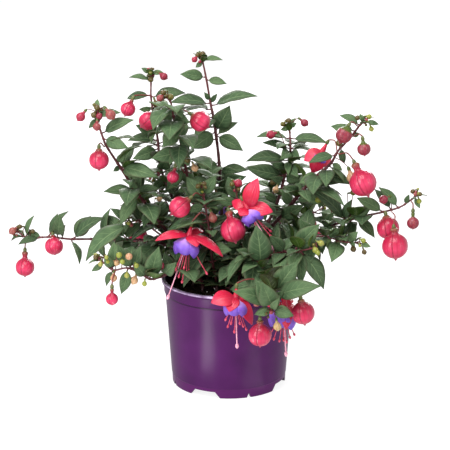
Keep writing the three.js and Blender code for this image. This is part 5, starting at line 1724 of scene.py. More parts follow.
# Places in millimetres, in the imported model's own frame.
STEMS = (
    LeafyStem("stem_left_tall", (2.2, 1),
        knots=((-2.8, -2.5, 106), (-17, -4.5, 122.7), (-34.4, -8.5, 142.2), (-47.6, -14.5, 162.2),
         (-61.5, -20.5, 182.8), (-70.5, -26.5, 197.2), (-83.8, -34.5, 221.8), (-95.2, -40.5, 242.5),
         (-98.5, -43.5, 251.8), (-102.6, -46.5, 267.7), (-103.1, -48.5, 278.5)),
        leaves=((0.83, -74, -56, 245, 69, 12), (0.86, -69, -48, 270, 47, 13), (0.96, -81, -50, 277, 40, 8.8),
         (0.67, -47, -49, 215, 41, 16), (0.66, -65, -42, 213, 57, 7.9), (0.58, -100, -32, 197, -40, 12),
         (0.55, -84, -40, 166, -26, 14), (0.56, -64, -21, 212, 7, 7.8), (0.24, -9, 14, 139, 5, 14),
         (0.24, -12, -34, 131, -4, 16), (0.41, -75, -30, 147, 0, 16), (0.41, -30, -16, 180, -3, 14),
         (0.58, -47, -34, 200, 49, 8.9), (0.57, -75, -32, 210, -123, 7.8), (0.94, -111, -53, 263, -62, 5.8),
         (0.67, -90, -41, 219, -62, 4.9), (0.68, -79, -40, 238, 116, 7.8)),
        buds=((0.92, -101, -50, 274, 6.8, "dusky"), (0.99, -118, -54, 274, 8.7, "pink"),
         (0.99, -90, -54, 276, 9.7, "dusky"), (0.93, -103, -55, 265, 7.8, "dusky"), (1, -103, -50, 282, 5.8, "olive"),
         (0.99, -106, -50, 275, 5.8, "olive"))),
    LeafyStem("stem_left_inner", (1.9, 0.9),
        knots=((6.2, 13.5, 106), (-13.4, 13.5, 125.4), (-29.1, 17.5, 160.3), (-41.9, 23.5, 189.3),
         (-48.7, 27.5, 208.6), (-50.6, 31.5, 231.9), (-55.2, 33.5, 260.5), (-57, 33.5, 275.4), (-56.8, 33.5, 288.3),
         (-56.7, 33.5, 299.1)),
        leaves=((0.94, -78, 32, 295, -24, 8.6), (0.83, -82, 58, 269, -54, 9.5), (0.82, -23, 30, 280, 41, 14),
         (0.66, -72, 22, 250, -88, 12), (0.7, -56, 11, 234, 6, 9), (0.64, -80, 24, 234, -35, 12),
         (0.61, -75, 18, 217, -69, 13), (0.26, -10, 41, 133, 5, 15), (0.26, 1, 27, 145, 6, 16),
         (0.46, -41, -4, 204, -2, 16), (0.46, -52, 59, 187, 2, 17), (0.52, -41, 4, 222, 156, 13),
         (0.48, -58, 16, 186, -65, 7.8), (0.46, -33, 10, 183, 44, 8.7), (1, -44, 34, 299, 63, 5.1),
         (1, -66, 34, 304, -80, 4.9), (0.74, -69, 30, 264, -79, 5.8)),
        buds=((0.91, -57, 32, 293, 5.8, "olive"), (0.94, -44, 32, 296, 7.8, "dusky"),
         (0.82, -52, 30, 269, 6.8, "olive"), (1, -57, 34, 302, 4.9, "olive"), (0.74, -40, 26, 266, 5.8, "olive"))),
    LeafyStem("stem_centre_left", (1.9, 0.9),
        knots=((14.2, -5.5, 106), (-1.4, -2.5, 135.4), (-10.9, -8.5, 167.5), (-18.3, -16.5, 194.6),
         (-23.6, -26.5, 228.6), (-28.8, -34.5, 256.5), (-33.2, -38.5, 273.6), (-34.9, -40.5, 284.4),
         (-38.5, -42.5, 289.5)),
        leaves=((0.79, -17, -54, 269, 66, 12), (0.7, -43, -53, 245, -50, 14), (0.68, -18, -39, 239, 58, 7.8),
         (0.62, -54, -42, 232, -73, 15), (0.62, -18, -38, 223, 37, 8.7), (0.57, -40, -11, 193, -108, 12),
         (0.53, 5, -32, 203, 71, 12), (0.29, 19, 15, 148, 3, 16), (0.29, -12, -32, 136, -3, 16),
         (0.51, -17, -51, 195, -1, 16), (0.51, -23, 5, 210, 1, 13), (0.57, -36, -31, 234, -101, 8.7),
         (0.52, -29, -30, 196, -57, 8.7), (0.79, -45, -46, 265, -64, 7.8)),
        buds=((0.97, -45, -46, 290, 6.8, "dusky"), (0.96, -35, -44, 291, 5.8, "olive"),
         (1, -42, -44, 295, 4.9, "olive"), (0.61, -20, -37, 229, 5.8, "olive"), (0.59, -13, -40, 222, 6.8, "peach"))),
    LeafyStem("stem_centre_tall", (2.2, 0.9),
        knots=((23.2, 16.5, 106), (16.3, 17.5, 129.4), (12.3, 19.5, 159.7), (9.9, 23.5, 206.5), (7.5, 25.5, 231.2),
         (3.6, 25.5, 259.2), (1.7, 25.5, 268.1), (-2.6, 23.5, 294.1), (-5.9, 21.5, 311.1), (-7.8, 20.5, 317.1)),
        leaves=((0.95, 13, 21, 314, 27, 8), (0.83, -28, 17, 301, -82, 11), (0.82, 17, 20, 291, 61, 8.1),
         (0.74, -38, 17, 273, -31, 16), (0.73, 47, 19, 279, 21, 19), (0.58, 20, 19, 270, 105, 19),
         (0.57, 28, 34, 250, 30, 10), (0.58, -18, 14, 228, -67, 16), (0.57, 33, 14, 226, 68, 14),
         (0.46, -12, 16, 214, -82, 10), (0.45, 38, 17, 206, 48, 11), (0.23, -15, 2, 118, -1, 18),
         (0.23, 42, 19, 132, 0, 13), (0.42, 9, -7, 199, 0, 15), (0.42, 12, 52, 194, 0, 14),
         (0.43, -11, 10, 213, -73, 10), (0.4, 16, -5, 204, 159, 12), (0.45, 28, 10, 206, 79, 8.7),
         (0.92, -13, 19, 307, -72, 4.9), (0.75, -5, 21, 283, -111, 4.9), (0.74, 8, 23, 281, 97, 4.9),
         (0.42, 36, -4, 205, 93, 15), (0.42, 28, 8, 187, 72, 14)),
        buds=((0.97, -14, 18, 315, 5.8, "pink"), (1, -6, 20, 320, 5.8, "olive"), (1, -11, 20, 319, 4.9, "olive"))),
    LeafyStem("stem_right_tall", (2.3, 1),
        knots=((37.2, 5.5, 106), (41.9, 7.5, 132.4), (57.7, 13.5, 154.2), (67.6, 21.5, 174.5), (74.6, 29.5, 198),
         (79.5, 35.5, 214.8), (79.5, 41.5, 235.7), (78.5, 43.5, 245.4)),
        leaves=((0.87, 116, 30, 230, 26, 15), (0.87, 46, 34, 235, -18, 14), (0.82, 52, 36, 229, -32, 11),
         (0.81, 69, 10, 218, -43, 12), (0.81, 89, 17, 216, 45, 11), (0.76, 36, 28, 212, -29, 17),
         (0.66, 35, 15, 209, -68, 16), (0.71, 60, 20, 212, -89, 8.7), (0.72, 95, 18, 203, 67, 10),
         (0.66, 89, 18, 195, 71, 10), (0.64, 59, 11, 200, -92, 8.7), (0.38, 74, -16, 140, 3, 17),
         (0.38, 47, 43, 143, -4, 16), (0.64, 109, 20, 192, 33, 14), (0.73, 87, 7, 201, 40, 12),
         (0.55, 52, 13, 185, -94, 8.7), (0.96, 70, 41, 241, -76, 4.9), (0.98, 86, 41, 248, 85, 4.9),
         (0.76, 77, 10, 202, -4, 7.8)),
        buds=((0.76, 60, 28, 239, 8.7, "pink"), (0.99, 94, 41, 248, 7.8, "dusky"), (1, 78, 42, 250, 5.8, "olive"),
         (0.98, 72, 40, 247, 4.9, "olive"), (0.66, 62, 15, 194, 5.8, "olive"), (0.63, 65, 13, 187, 6.8, "peach"))),
    LeafyStem("stem_right_arching", (2.1, 1),
        knots=((46.2, -8.5, 106), (51.3, -10.5, 142.8), (73.1, -16.5, 172.7), (89.8, -22.5, 196.2),
         (103.6, -28.5, 212.5), (115.3, -34.5, 225.6), (121.3, -38.5, 238.2), (132, -42.5, 251.6),
         (141.6, -46.5, 265.8), (146.9, -48.5, 269.1)),
        leaves=((0.9, 122, -38, 272, -34, 8.6), (0.86, 114, -38, 262, -58, 9.1), (0.7, 93, -49, 229, -34, 11),
         (0.55, 85, -38, 207, -66, 11), (0.56, 134, -40, 206, 50, 13), (0.46, 108, -33, 184, 61, 12),
         (0.44, 72, -28, 201, -89, 10), (0.26, 24, -9, 145, 0, 14), (0.26, 49, -43, 140, 1, 16),
         (0.48, 128, -15, 188, -3, 17), (0.48, 77, -28, 226, 4, 16), (0.52, 129, -36, 208, 51, 12),
         (0.48, 126, -70, 193, 1, 16), (0.34, 91, -27, 183, 90, 14), (0.41, 108, -28, 190, 51, 11),
         (0.39, 69, -28, 198, -120, 8.7), (0.95, 140, -48, 276, -89, 4.9), (0.98, 158, -50, 266, 62, 5),
         (0.83, 141, -42, 256, 75, 4.9), (0.75, 128, -36, 226, 131, 6.8), (0.64, 126, -38, 219, 69, 5.8)),
        buds=((0.98, 151, -51, 262, 4.9, "green"), (0.68, 135, -42, 213, 10.7, "peach"),
         (0.92, 138, -48, 272, 4.9, "olive"), (1, 149, -48, 273, 4.9, "green"), (0.74, 122, -43, 247, 6.8, "olive"))),
    LeafyStem("stem_right_far", (2.1, 0.9),
        knots=((52.2, -20.5, 106), (60.7, -22.5, 132.3), (87.5, -24.5, 149), (115.9, -28.5, 162.1),
         (130.8, -32.5, 168.2), (143.7, -36.5, 173.3), (164.8, -42.5, 179.9), (180, -48.5, 186.4),
         (190.6, -52.5, 195.3), (194, -54.5, 199.7)),
        leaves=((0.55, 94, -38, 201, -37, 19), (0.81, 160, -42, 204, -33, 11), (0.73, 140, -36, 192, -48, 12),
         (0.77, 157, -34, 200, -24, 10), (0.57, 154, -42, 184, 86, 12), (0.62, 157, -48, 156, 33, 11),
         (0.53, 136, -34, 190, 59, 10), (0.43, 119, -32, 177, 96, 10), (0.29, 84, -55, 121, 5, 18),
         (0.29, 81, 5, 129, -5, 15), (0.95, 198, -56, 187, 64, 4.9), (0.85, 188, -52, 200, 101, 4.9),
         (0.46, 108, -23, 174, -57, 7.8)),
        buds=((0.77, 164, -50, 194, 8.7, "dusky"), (0.56, 137, -35, 197, 5.8, "olive"),
         (0.48, 104, -36, 190, 6.8, "green"), (0.57, 142, -36, 198, 4.9, "olive"), (1, 197, -56, 194, 4.9, "green"),
         (1, 191, -54, 203, 4.9, "olive"))),
    LeafyStem("stem_right_low", (1.6, 0.7),
        knots=((41.2, -30.5, 106), (50.7, -38.5, 129.1), (77.1, -44.5, 149.9), (101.3, -50.5, 158.6),
         (114.3, -54.5, 157.8), (128.2, -58.5, 155), (142, -62.5, 155.2)),
        leaves=((0.72, 126, -58, 168, 82, 7.8), (0.81, 114, -84, 143, -16, 16), (0.89, 140, -61, 166, 82, 8.7),
         (0.6, 85, -64, 179, -125, 14), (0.62, 92, -60, 144, -41, 10), (0.4, 46, -63, 153, 6, 17),
         (0.4, 85, -20, 117, -4, 17), (1, 152, -64, 152, 73, 4.9)),
        buds=((0.9, 136, -62, 149, 5.8, "olive"), (0.98, 146, -65, 147, 4.9, "olive"),
         (1, 145, -64, 158, 4.9, "green"))),
    LeafyStem("stem_right_front", (1.5, 0.7),
        knots=((32.2, -23.5, 106), (41.2, -36.5, 124.5), (56, -54.5, 140), (76.1, -68.5, 149.2), (88.7, -78.5, 153.2),
         (100.3, -84.5, 157.9)),
        leaves=((0.82, 107, -88, 118, 31, 18), (0.75, 103, -77, 178, 87, 18), (0.68, 57, -71, 165, -98, 12),
         (0.7, 68, -81, 133, -22, 12)),
        buds=((0.96, 99, -85, 155, 5.8, "green"), (1, 104, -86, 162, 5.8, "green"),
         (0.96, 101, -87, 153, 4.9, "green"))),
    LeafyStem("stem_over_rim", (1.6, 0.7),
        knots=((21.2, -34.5, 106), (32.5, -44.5, 131), (37.9, -56.5, 144.6), (46.1, -72.5, 139.7),
         (53.3, -86.5, 129.5), (58.6, -98.5, 121.7), (60.2, -108.5, 116.3), (58, -122.5, 107.6)),
        leaves=((0.59, 44, -83, 179, 1, 22), (0.51, 38, -97, 120, -10, 20), (0.92, 22, -130, 130, -71, 16),
         (0.97, 48, -138, 142, -141, 18), (0.84, 82, -104, 150, 78, 20), (0.86, 102, -133, 136, 59, 18),
         (0.99, 78, -129, 106, 68, 10), (0.99, 42, -125, 106, -68, 6.8), (0.98, 65, -119, 122, 72, 6.8),
         (0.99, 64, -139, 127, 142, 6.8), (0.9, 69, -117, 126, 101, 7.8), (0.47, 26, -66, 150, -82, 7.8),
         (0.7, 20, -68, 111, -62, 14), (0.97, 43, -124, 139, -98, 16), (0.98, 43, -118, 105, -47, 6.4),
         (0.97, 77, -125, 106, 68, 10), (0.93, 65, -117, 122, 104, 6.8)),
        buds=((0.98, 63, -124, 94, 7.8, "peach"), (0.95, 44, -121, 115, 5.8, "dusky"))),
    LeafyStem("stem_left_far", (1.9, 0.8),
        knots=((-15.8, -14.5, 106), (-26.4, -18.5, 131), (-47.8, -14.5, 141), (-67.5, -8.5, 142.2),
         (-89.3, -2.5, 141.5), (-117.3, 3.5, 139.7), (-137.3, 7.5, 138.5), (-157.2, 9.5, 140), (-177.2, 11.5, 138.4),
         (-183.2, 12.5, 140.2), (-191, 13.5, 145)),
        leaves=((0.66, -102, -1, 163, 43, 16), (0.76, -139, 18, 164, 8, 14), (0.74, -148, 3, 166, 87, 10),
         (0.79, -187, -3, 136, -24, 10), (0.89, -172, 10, 162, 43, 9.5), (0.66, -128, -1, 115, -22, 11),
         (0.56, -103, -6, 124, 28, 7.8), (0.58, -91, -5, 148, 44, 10), (0.49, -67, -15, 130, 46, 10),
         (0.27, -42, 12, 120, 5, 15), (0.27, -40, -42, 145, -6, 14), (0.7, -141, 5, 154, 83, 6.1),
         (0.49, -94, -8, 158, -103, 7.8), (0.65, -117, 18, 159, 57, 15), (0.54, -97, 11, 169, -27, 13),
         (0.72, -145, -9, 169, 163, 12), (0.78, -182, 16, 143, -68, 7.8), (0.47, -102, 16, 161, -45, 14)),
        buds=((0.98, -194, 10, 146, 7.8, "dusky"), (0.94, -187, 12, 150, 4.9, "olive"),
         (0.83, -174, 9, 146, 4.9, "olive"))),
    LeafyStem("stem_left_low", (1.7, 0.8),
        knots=((-6.8, -31.5, 106), (-16.2, -44.5, 125), (-34.9, -56.5, 124.8), (-46.1, -62.5, 121.8),
         (-55.2, -68.5, 121.7), (-64.4, -70.5, 128.3), (-76.6, -70.5, 133.2), (-89.9, -68.5, 130.6),
         (-99.3, -66.5, 137.8), (-104.8, -66.5, 141.8)),
        leaves=((0.83, -97, -72, 148, -115, 8.7), (0.72, -82, -78, 110, -41, 11), (0.7, -85, -76, 158, -104, 12),
         (0.55, -46, -76, 156, 127, 16), (0.58, -70, -77, 141, -107, 11), (0.42, -30, -77, 141, 120, 12),
         (0.36, -42, -62, 146, -119, 12), (0.9, -110, -71, 130, -59, 5.9), (0.82, -96, -72, 116, -24, 6.8)),
        buds=((0.98, -106, -68, 143, 4.9, "olive"), (0.63, -70, -74, 122, 7.8, "peach"),
         (0.48, -45, -70, 135, 7.8, "dusky"), (0.81, -89, -73, 124, 6.8, "peach"), (0.84, -86, -70, 138, 5.8, "peach"),
         (0.8, -83, -81, 149, 5.8, "green"), (0.73, -74, -79, 147, 6.8, "peach"), (0.76, -80, -83, 143, 4.9, "green"),
         (0.92, -101, -74, 138, 4.9, "green"), (0.89, -94, -76, 141, 3.9, "green"),
         (0.69, -67, -82, 139, 4.9, "green"), (0.72, -76, -84, 130, 4.9, "green"), (0.92, -95, -78, 146, 3.9, "green"),
         (0.58, -60, -78, 120, 4.9, "green"))),
    LeafyStem("stem_left_shoulder", (1.6, 0.7),
        knots=((-12.8, 1.5, 106), (-28.9, 3.5, 134.6), (-44.3, -0.5, 150.1), (-57.5, -8.5, 158.4),
         (-68.5, -20.5, 164.9), (-77.6, -28.5, 166.1)),
        leaves=((0.94, -118, -39, 130, -19, 24), (0.81, -80, -26, 150, -44, 9), (0.99, -94, -30, 180, -53, 8.7),
         (0.7, -49, -8, 179, 87, 11), (0.4, -29, 33, 132, 3, 15), (0.4, -12, -20, 146, -3, 16)),
        buds=((0.71, -60, -16, 167, 9.7, "dusky"), (0.66, -48, -9, 184, 5.8, "peach"),
         (1, -81, -30, 169, 4.9, "olive"))),
    LeafyStem("stem_front_left", (1.6, 0.7),
        knots=((7.2, -30.5, 106), (2.9, -44.5, 135), (1.1, -50.5, 158.6), (-1.7, -50.5, 179.2), (-4.4, -48.5, 195.2),
         (-6.3, -48.5, 204.9)),
        leaves=((0.84, -21, -41, 214, -61, 15), (0.79, -21, -56, 184, -71, 8.7), (0.69, -40, -42, 160, -31, 16),
         (0.52, -24, -58, 110, -20, 20), (0.49, 22, -62, 148, 75, 13), (0.88, 7, -44, 216, 67, 12)),
        buds=((0.77, 4, -54, 177, 8.7, "dusky"), (1, -4, -48, 209, 4.9, "olive"), (1, -10, -50, 207, 4.9, "olive"))),
    LeafyStem("stem_front_right", (1.5, 0.7),
        knots=((28.2, -30.5, 106), (32.5, -40.5, 135.8), (32.4, -40.5, 155.7), (30.5, -38.5, 176.8),
         (26.7, -36.5, 192), (25.7, -36.5, 203.8)),
        leaves=((0.82, 18, -18, 208, -29, 14), (0.71, 45, -30, 198, 57, 12), (0.55, 14, -52, 149, -66, 8.7),
         (0.59, 50, -44, 149, 70, 10), (0.8, 7, -45, 192, -80, 10), (0.86, -18, -32, 178, -30, 19)),
        buds=((0.99, 28, -38, 207, 7.8, "pink"), (0.99, 22, -38, 206, 4.9, "olive"))),
    LeafyStem("stem_back_left", (1.7, 0.7),
        knots=((-14.8, 11.5, 106), (-33.7, 27.5, 125.4), (-56.2, 43.5, 137.4), (-70.9, 57.5, 148.1),
         (-81.6, 69.5, 153.2)),
        leaves=((0.37, -4, 33, 121, 5, 13), (0.37, -42, 0, 110, -5, 13), (0.79, -86, 64, 122, -3, 14),
         (0.79, -67, 46, 175, -20, 17)),
        buds=((1, -84, 70, 155, 5.8, "olive"), (0.99, -78, 72, 158, 4.9, "olive"))),
    LeafyStem("stem_back_left_high", (1.7, 0.7),
        knots=((-2.8, 23.5, 106), (-19.9, 37.5, 128.7), (-38.3, 55.5, 152.9), (-51, 73.5, 171.2),
         (-57.5, 85.5, 182.9)),
        leaves=((0.3, -31, 34, 110, 0, 15), (0.3, -4, 49, 109, 0, 13), (0.58, -45, 65, 123, 0, 13),
         (0.58, -22, 36, 163, -2, 14), (0.86, -76, 62, 185, -5, 15), (0.86, -35, 105, 164, 4, 16)),
        buds=((1, -60, 86, 185, 5.8, "olive"), (1, -54, 90, 186, 5.8, "dusky"))),
    LeafyStem("stem_back_centre_high", (1.8, 0.7),
        knots=((13.2, 29.5, 106), (-1.9, 43.5, 126.9), (-9.1, 63.5, 154.9), (-14.4, 81.5, 173.3),
         (-16.6, 93.5, 185.1)),
        leaves=((0.3, 16, 57, 109, 0, 14), (0.3, 10, 1, 109, 0, 14), (0.58, -8, 84, 126, 1, 15),
         (0.58, -7, 36, 160, -3, 14), (0.86, -50, 87, 177, -4, 17), (0.86, 17, 97, 179, 4, 17)),
        buds=((1, -19, 94, 188, 5.8, "olive"), (1, -14, 96, 189, 4.9, "olive"))),
    LeafyStem("stem_back_low", (1.6, 0.7),
        knots=((5.2, 37.5, 106), (-5.1, 55.5, 117), (-14.7, 83.5, 125.9), (-21.4, 109.5, 127.1),
         (-26.2, 131.5, 120.9)),
        leaves=((0.37, 23, 54, 124, 6, 15), (0.37, -8, 34, 125, -8, 11), (0.79, -39, 112, 91, -10, 17),
         (0.79, -30, 109, 149, -8, 14)),
        buds=((1, -28, 132, 122, 5.8, "olive"),)),
    LeafyStem("stem_back_centre", (1.7, 0.7),
        knots=((27.2, 33.5, 106), (24.4, 49.5, 120.9), (30.7, 75.5, 136.7), (35.1, 99.5, 147.2), (38.4, 119.5, 150.5)),
        leaves=((0.37, 45, 31, 131, 6, 16), (0.37, 11, 24, 133, -6, 17), (0.79, 31, 117, 115, -3, 16),
         (0.79, 41, 90, 176, -94, 18)),
        buds=((1, 37, 120, 154, 5.8, "olive"), (1, 43, 122, 154, 5.8, "dusky"))),
    LeafyStem("stem_back_right_high", (1.8, 0.7),
        knots=((41.2, 27.5, 106), (42.5, 41.5, 127.5), (56.9, 59.5, 153.9), (67.3, 75.5, 172.8), (73.8, 87.5, 184.5)),
        leaves=((0.37, 68, 39, 110, 3, 13), (0.37, 48, 13, 129, 2, 14), (0.79, 70, 98, 152, -2, 14),
         (0.79, 67, 57, 188, 5, 13)),
        buds=((1, 73, 88, 188, 5.8, "olive"), (1, 78, 90, 188, 4.9, "olive"))),
    LeafyStem("stem_back_right", (1.7, 0.7),
        knots=((53.2, 17.5, 106), (58.4, 31.5, 126.3), (83, 49.5, 137.8), (103.9, 65.5, 148), (119, 79.5, 152.6)),
        leaves=((0.3, 26, 16, 109, 0, 14), (0.3, 88, 20, 111, 0, 18), (0.58, 80, 61, 103, -5, 16),
         (0.58, 77, 31, 160, 14, 17), (0.86, 92, 94, 158, -6, 16), (0.86, 139, 50, 146, 5, 18)),
        buds=((1, 121, 80, 156, 5.8, "olive"), (1, 125, 82, 151, 5.8, "dusky"))),
    LeafyStem("stem_back_right_low", (1.6, 0.7),
        knots=((41.2, 37.5, 106), (44.8, 55.5, 114.8), (63.9, 81.5, 120), (77.2, 105.5, 119.5), (86.4, 125.5, 113.7)),
        leaves=((0.37, 74, 47, 103, 5, 15), (0.37, 22, 51, 111, -5, 11), (0.79, 92, 102, 84, 11, 17),
         (0.79, 68, 115, 142, -7, 15)),
        buds=((1, 89, 126, 115, 5.8, "olive"),)),
)

BUDS = (
    HangingBud("bud_far_left", ((-177.3, 11.1, 138.3), (-177.7, 8.9, 138), (-180.4, 5.5, 138.1)),
        neck=(-181.7, 4.5, 126.1), body=(-182.1, 3.5, 110.9), size=18.4),
    HangingBud("bud_left_hanging", ((-157.2, 9.2, 140.3), (-157.5, 7.4, 141.7), (-155.1, 1.5, 146.4)),
        neck=(-152.7, -3.5, 144.8), body=(-151.2, -10.5, 136.7), size=17.5),
    HangingBud("bud_left_high", ((-96.3, -41.6, 244.6), (-97.6, -43.5, 243.6), (-100.3, -46.5, 247.7)),
        neck=(-102.1, -48.5, 242.4), body=(-102.2, -49.5, 232.2), size=18.4),
    HangingBud("bud_left_top", ((-57.3, 33.2, 277.6), (-59.1, 31.8, 277.6), (-67.2, 25.5, 279)),
        neck=(-74.8, 21.5, 274.9), body=(-78.7, 19.5, 266.4), size=14.6),
    HangingBud("bud_inner_top", ((-55.6, 33.1, 265.5), (-54.5, 31, 265.6), (-51.9, 25.5, 266.1)),
        neck=(-51.7, 20.5, 261.2), body=(-59.3, 15.5, 255.4), size=18.4),
    HangingBud("bud_centre_high", ((-33.4, -39.3, 277.2), (-31.2, -40.2, 277.4), (-23.7, -43.5, 278.4)),
        neck=(-15.3, -47.5, 274.5), body=(-7.9, -48.5, 269.1), size=19.4),
    HangingBud("bud_centre", ((-5.2, -48.8, 198.4), (-6.5, -50.5, 198.2), (-11.8, -56.5, 202.2)),
        neck=(-18.3, -60.5, 197.4), body=(-26.7, -62.5, 190.3), size=20.4),
    HangingBud("bud_front_centre", ((29.4, -38.3, 180.6), (28.3, -40.3, 180.6), (21.9, -48.5, 187.4)),
        neck=(19, -54.5, 183.2), body=(22.8, -60.5, 167.4), size=23.3),
    HangingBud("bud_rim", ((58.3, -118.9, 109.7), (56.4, -118.2, 109), (50, -117.5, 105.9)),
        neck=(47.3, -118.5, 97.5), body=(47.4, -118.5, 84), size=21.3),
    HangingBud("bud_rim_right", ((60.5, -108.6, 116.4), (62.5, -109.2, 116.9), (74.8, -108.5, 122.1)),
        neck=(84.8, -111.5, 115.4), body=(86.8, -112.5, 103.2), size=21.3),
    HangingBud("bud_right_dusky", ((139.7, -46.1, 263.6), (137.9, -47.5, 264.4), (133.6, -52.5, 269)),
        neck=(128.9, -54.5, 264.7), body=(125.3, -55.5, 257.3), size=15.5, stage="dusky"),
    HangingBud("bud_right_pale", ((134.5, -43.9, 255), (134.9, -46.1, 254.1), (139.4, -52.5, 257.6)),
        neck=(143.1, -54.5, 251.4), body=(144.1, -55.5, 244.1), size=12.6, stage="dusky"),
    HangingBud("bud_right_large", ((121.1, -38.6, 236.9), (122.2, -40.4, 235.7), (129, -48.5, 238.6)),
        neck=(136.1, -55.5, 229.8), body=(143.6, -59.5, 212.6), size=25.2),
    HangingBud("bud_far_right_upper", ((164.6, -42.9, 180), (163.6, -45.1, 180.5), (165.8, -50.5, 183.1)),
        neck=(166.6, -53.5, 179), body=(168.6, -55.5, 167.9), size=21.3),
    HangingBud("bud_far_right_lower", ((172.3, -45.9, 183.1), (171.6, -48.2, 182.6), (173.8, -64.5, 182.1)),
        neck=(172.3, -72.5, 171.8), body=(173.5, -74.5, 155.9), size=24.3),
    HangingBud("bud_far_right_tip", ((189.7, -52.5, 194.4), (189.9, -54.6, 193.3), (190.9, -58.5, 192.1)),
        neck=(191.1, -59.5, 183.6), body=(191.4, -59.5, 173.9), size=11.6, stage="dusky"),
    HangingBud("bud_low_left", ((-87.7, -69.2, 130.8), (-87.7, -71.2, 129.7), (-89.4, -76.5, 126.3)),
        neck=(-90.5, -77.5, 114.8), body=(-90.7, -77.5, 104.9), size=11.6),
    HangingBud("bud_left_middle", ((-21.7, -22.7, 214.3), (-23.2, -24.6, 213.5), (-27.3, -30.5, 221.8)),
        neck=(-31.9, -34.5, 220.8), body=(-33.8, -36.5, 212.5), size=11.6),
    HangingBud("bud_back_left", ((-70.7, 57.7, 147.9), (-69.6, 59.2, 146.7), (-73.5, 67.5, 147.5)),
        neck=(-73.8, 71.5, 137.8), body=(-74.2, 73.5, 122.3), size=19.4),
    HangingBud("bud_back_centre", ((36.2, 104.5, 147.9), (38.2, 104.3, 147), (44.6, 109.5, 145.6)),
        neck=(45.8, 113.5, 134.7), body=(45.9, 115.5, 118.8), size=20.4),
    HangingBud("bud_back_right", ((103.7, 65.8, 147.9), (102.4, 67.4, 147.1), (105.5, 75.5, 147.4)),
        neck=(106.9, 79.5, 135.6), body=(107.3, 81.5, 120), size=17.5),
)

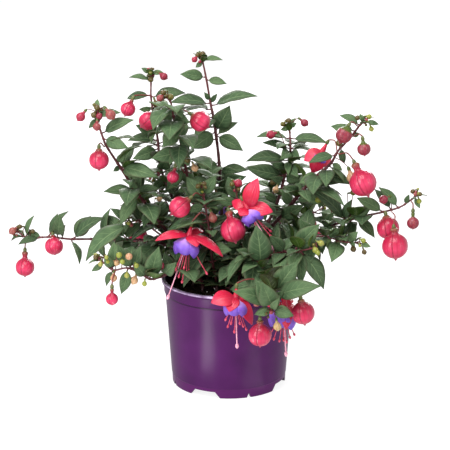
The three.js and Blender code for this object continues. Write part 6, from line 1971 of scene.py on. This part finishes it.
BLOOMS = (
    Bloom("left", ((-2, -50.7, 180.5), (-3, -52.7, 180.6), (-8, -62.5, 184.5)), mouth=(-18.4, -64.5, 162.7),
        aim=(-23.2, -67.5, 141.1), reach=0.98, show=0.45,
        sepals=((-49.9, -72.5, 160.2, 14.6), (13.4, -72.5, 144.6, 15.5), (-10.7, -78.5, 156.1, 14.6),
         (-5.6, -40.5, 160.6, 11.6)),
        stamens=((-31, -68, 131), (-28, -70, 125), (-25, -68, 119), (-21, -66, 128), (-23, -72, 134), (-29, -64, 135),
         (-2, -70, 128), (-19, -62, 128)),
        style=(-38.5, -68.5, 103.9)),
    Bloom("centre", ((27.7, -37.3, 188.3), (28.4, -39.4, 188.7), (30.3, -48.5, 196.2)),
        mouth=(36.8, -58.5, 187.2), aim=(46.2, -62.5, 171.8), reach=0.76, show=2.2,
        sepals=((45.9, -60.5, 217.6, 16.5), (60, -64.5, 186, 15.5), (29.2, -68.5, 183.2, 12.6),
         (21.9, -46.5, 191.8, 11.6)),
        stamens=((54, -64, 159), (58, -62, 162), (51, -66, 156), (56, -60, 155), (48, -58, 157), (58, -56, 165)),
        style=(59.3, -66.5, 151.6)),
    Bloom("rim", ((54.8, -90.7, 126.9), (52.7, -91.6, 127), (37.4, -94.5, 130.1)), mouth=(25.4, -100.5, 113.6),
        aim=(24.5, -102.5, 93.9), reach=0.86, show=0.9,
        sepals=((2.4, -108.5, 111.5, 20.4), (40.3, -102.5, 88, 14.6), (19, -113.5, 104.5, 13.6),
         (44.2, -86.5, 108, 12.6)),
        stamens=((16, -104, 94), (21, -106, 91), (24, -104, 82), (32, -102, 87), (35, -100, 83), (29, -106, 91),
         (18, -98, 85), (26, -98, 85)),
        style=(26.5, -100.5, 66.6)),
    Bloom("rim_right", ((60.3, -109.6, 115.5), (62.2, -109.2, 114.4), (66.9, -98.5, 118.8)),
        mouth=(70, -94.5, 103.8), aim=(67.4, -96.5, 83.9), reach=1.06, show=0.8,
        sepals=((71.5, -110.5, 86, 11.6), (85.2, -90.5, 91.6, 12.6), (54.1, -98.5, 105.2, 12.6),
         (77.3, -74.5, 103.9, 11.6)),
        stamens=((61, -96, 72), (76, -92, 72), (66, -98, 71), (70, -96, 71), (57, -94, 75), (80, -92, 75),
         (73, -90, 67)),
        style=(72.4, -94.5, 56.4)),
    Bloom("right_high", ((120.8, -37.7, 237.3), (120.4, -35.4, 238.2), (119.4, -24.5, 244.6)),
        mouth=(107.8, -15.5, 231.8), aim=(99.6, -13.5, 215.6), reach=0.5, show=0.8,
        sepals=((90.6, -19.5, 224, 15.5), (98.5, -17.5, 211.7, 16.5), (112.9, -15.5, 215.1, 14.6),
         (101.4, 0.5, 212.2, 12.6)),
        stamens=((96, -14, 208), (100, -12, 205)), style=(95, -13.5, 200.8)),
    Bloom("back", ((-15.1, 86.7, 178.1), (-13.8, 88, 177), (-2.4, 103.5, 169.8)), mouth=(5.9, 111.5, 150.5),
        aim=(5.8, 114.5, 126.8), reach=0.95, show=-0.8,
        sepals=((-18.2, 107.5, 145, 15.5), (31, 107.5, 141.8, 15.5), (-0.7, 137.5, 138, 13.6),
         (12.2, 91.5, 158, 12.6)),
        stamens=((0, 110, 112), (11, 110, 110), (3, 114, 106), (8, 108, 107), (14, 114, 111), (-4, 112, 114),
         (5, 106, 112)),
        style=(5.8, 111.5, 91.4)),
)


def dress(piece: Piece, node: str) -> None:
    """Let a piece ride on the plant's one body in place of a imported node.

    Args:
        piece: the piece.
        node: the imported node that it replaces.
    """
    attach(piece, "root")
    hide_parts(node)
    LOG.info("%s: %d faces", piece.name, len(piece.data.polygons))


def main() -> None:
    """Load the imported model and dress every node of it."""
    logging.basicConfig(level=logging.INFO, format="%(message)s")
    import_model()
    low, high = (Vector(corner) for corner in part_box("pot"))
    centre = Vector(((low.x + high.x) / 2, (low.y + high.y) / 2, 0))
    Studio().set_up(centre)
    palette = Palette()
    dress(NurseryPot().build(centre, palette), "pot")
    dress(Compost().build(centre, palette), "soil")
    leaf_pattern, petal_pattern = Pattern(10, 4), Pattern(8, 8)
    room, axis = Room(), np.array((centre.x, centre.y, 0)) / MM
    for keeper in (*BUDS, *BLOOMS, *STEMS):
        keeper.take_room(room)
    for coarse in (True, False):
        for stem in STEMS:
            stem.fill(room, axis, coarse)
    for stem in STEMS:
        dress(stem.build(leaf_pattern, palette), stem.name)
    for bud in BUDS:
        dress(bud.build(palette), bud.name)
    for bloom in BLOOMS:
        dress(bloom.build(leaf_pattern, palette), f"bloom_{bloom.name}")
        dress(bloom.corolla(petal_pattern, palette), f"corolla_{bloom.name}")
    bpy.context.view_layer.update()


if __name__ == "__main__":
    main()
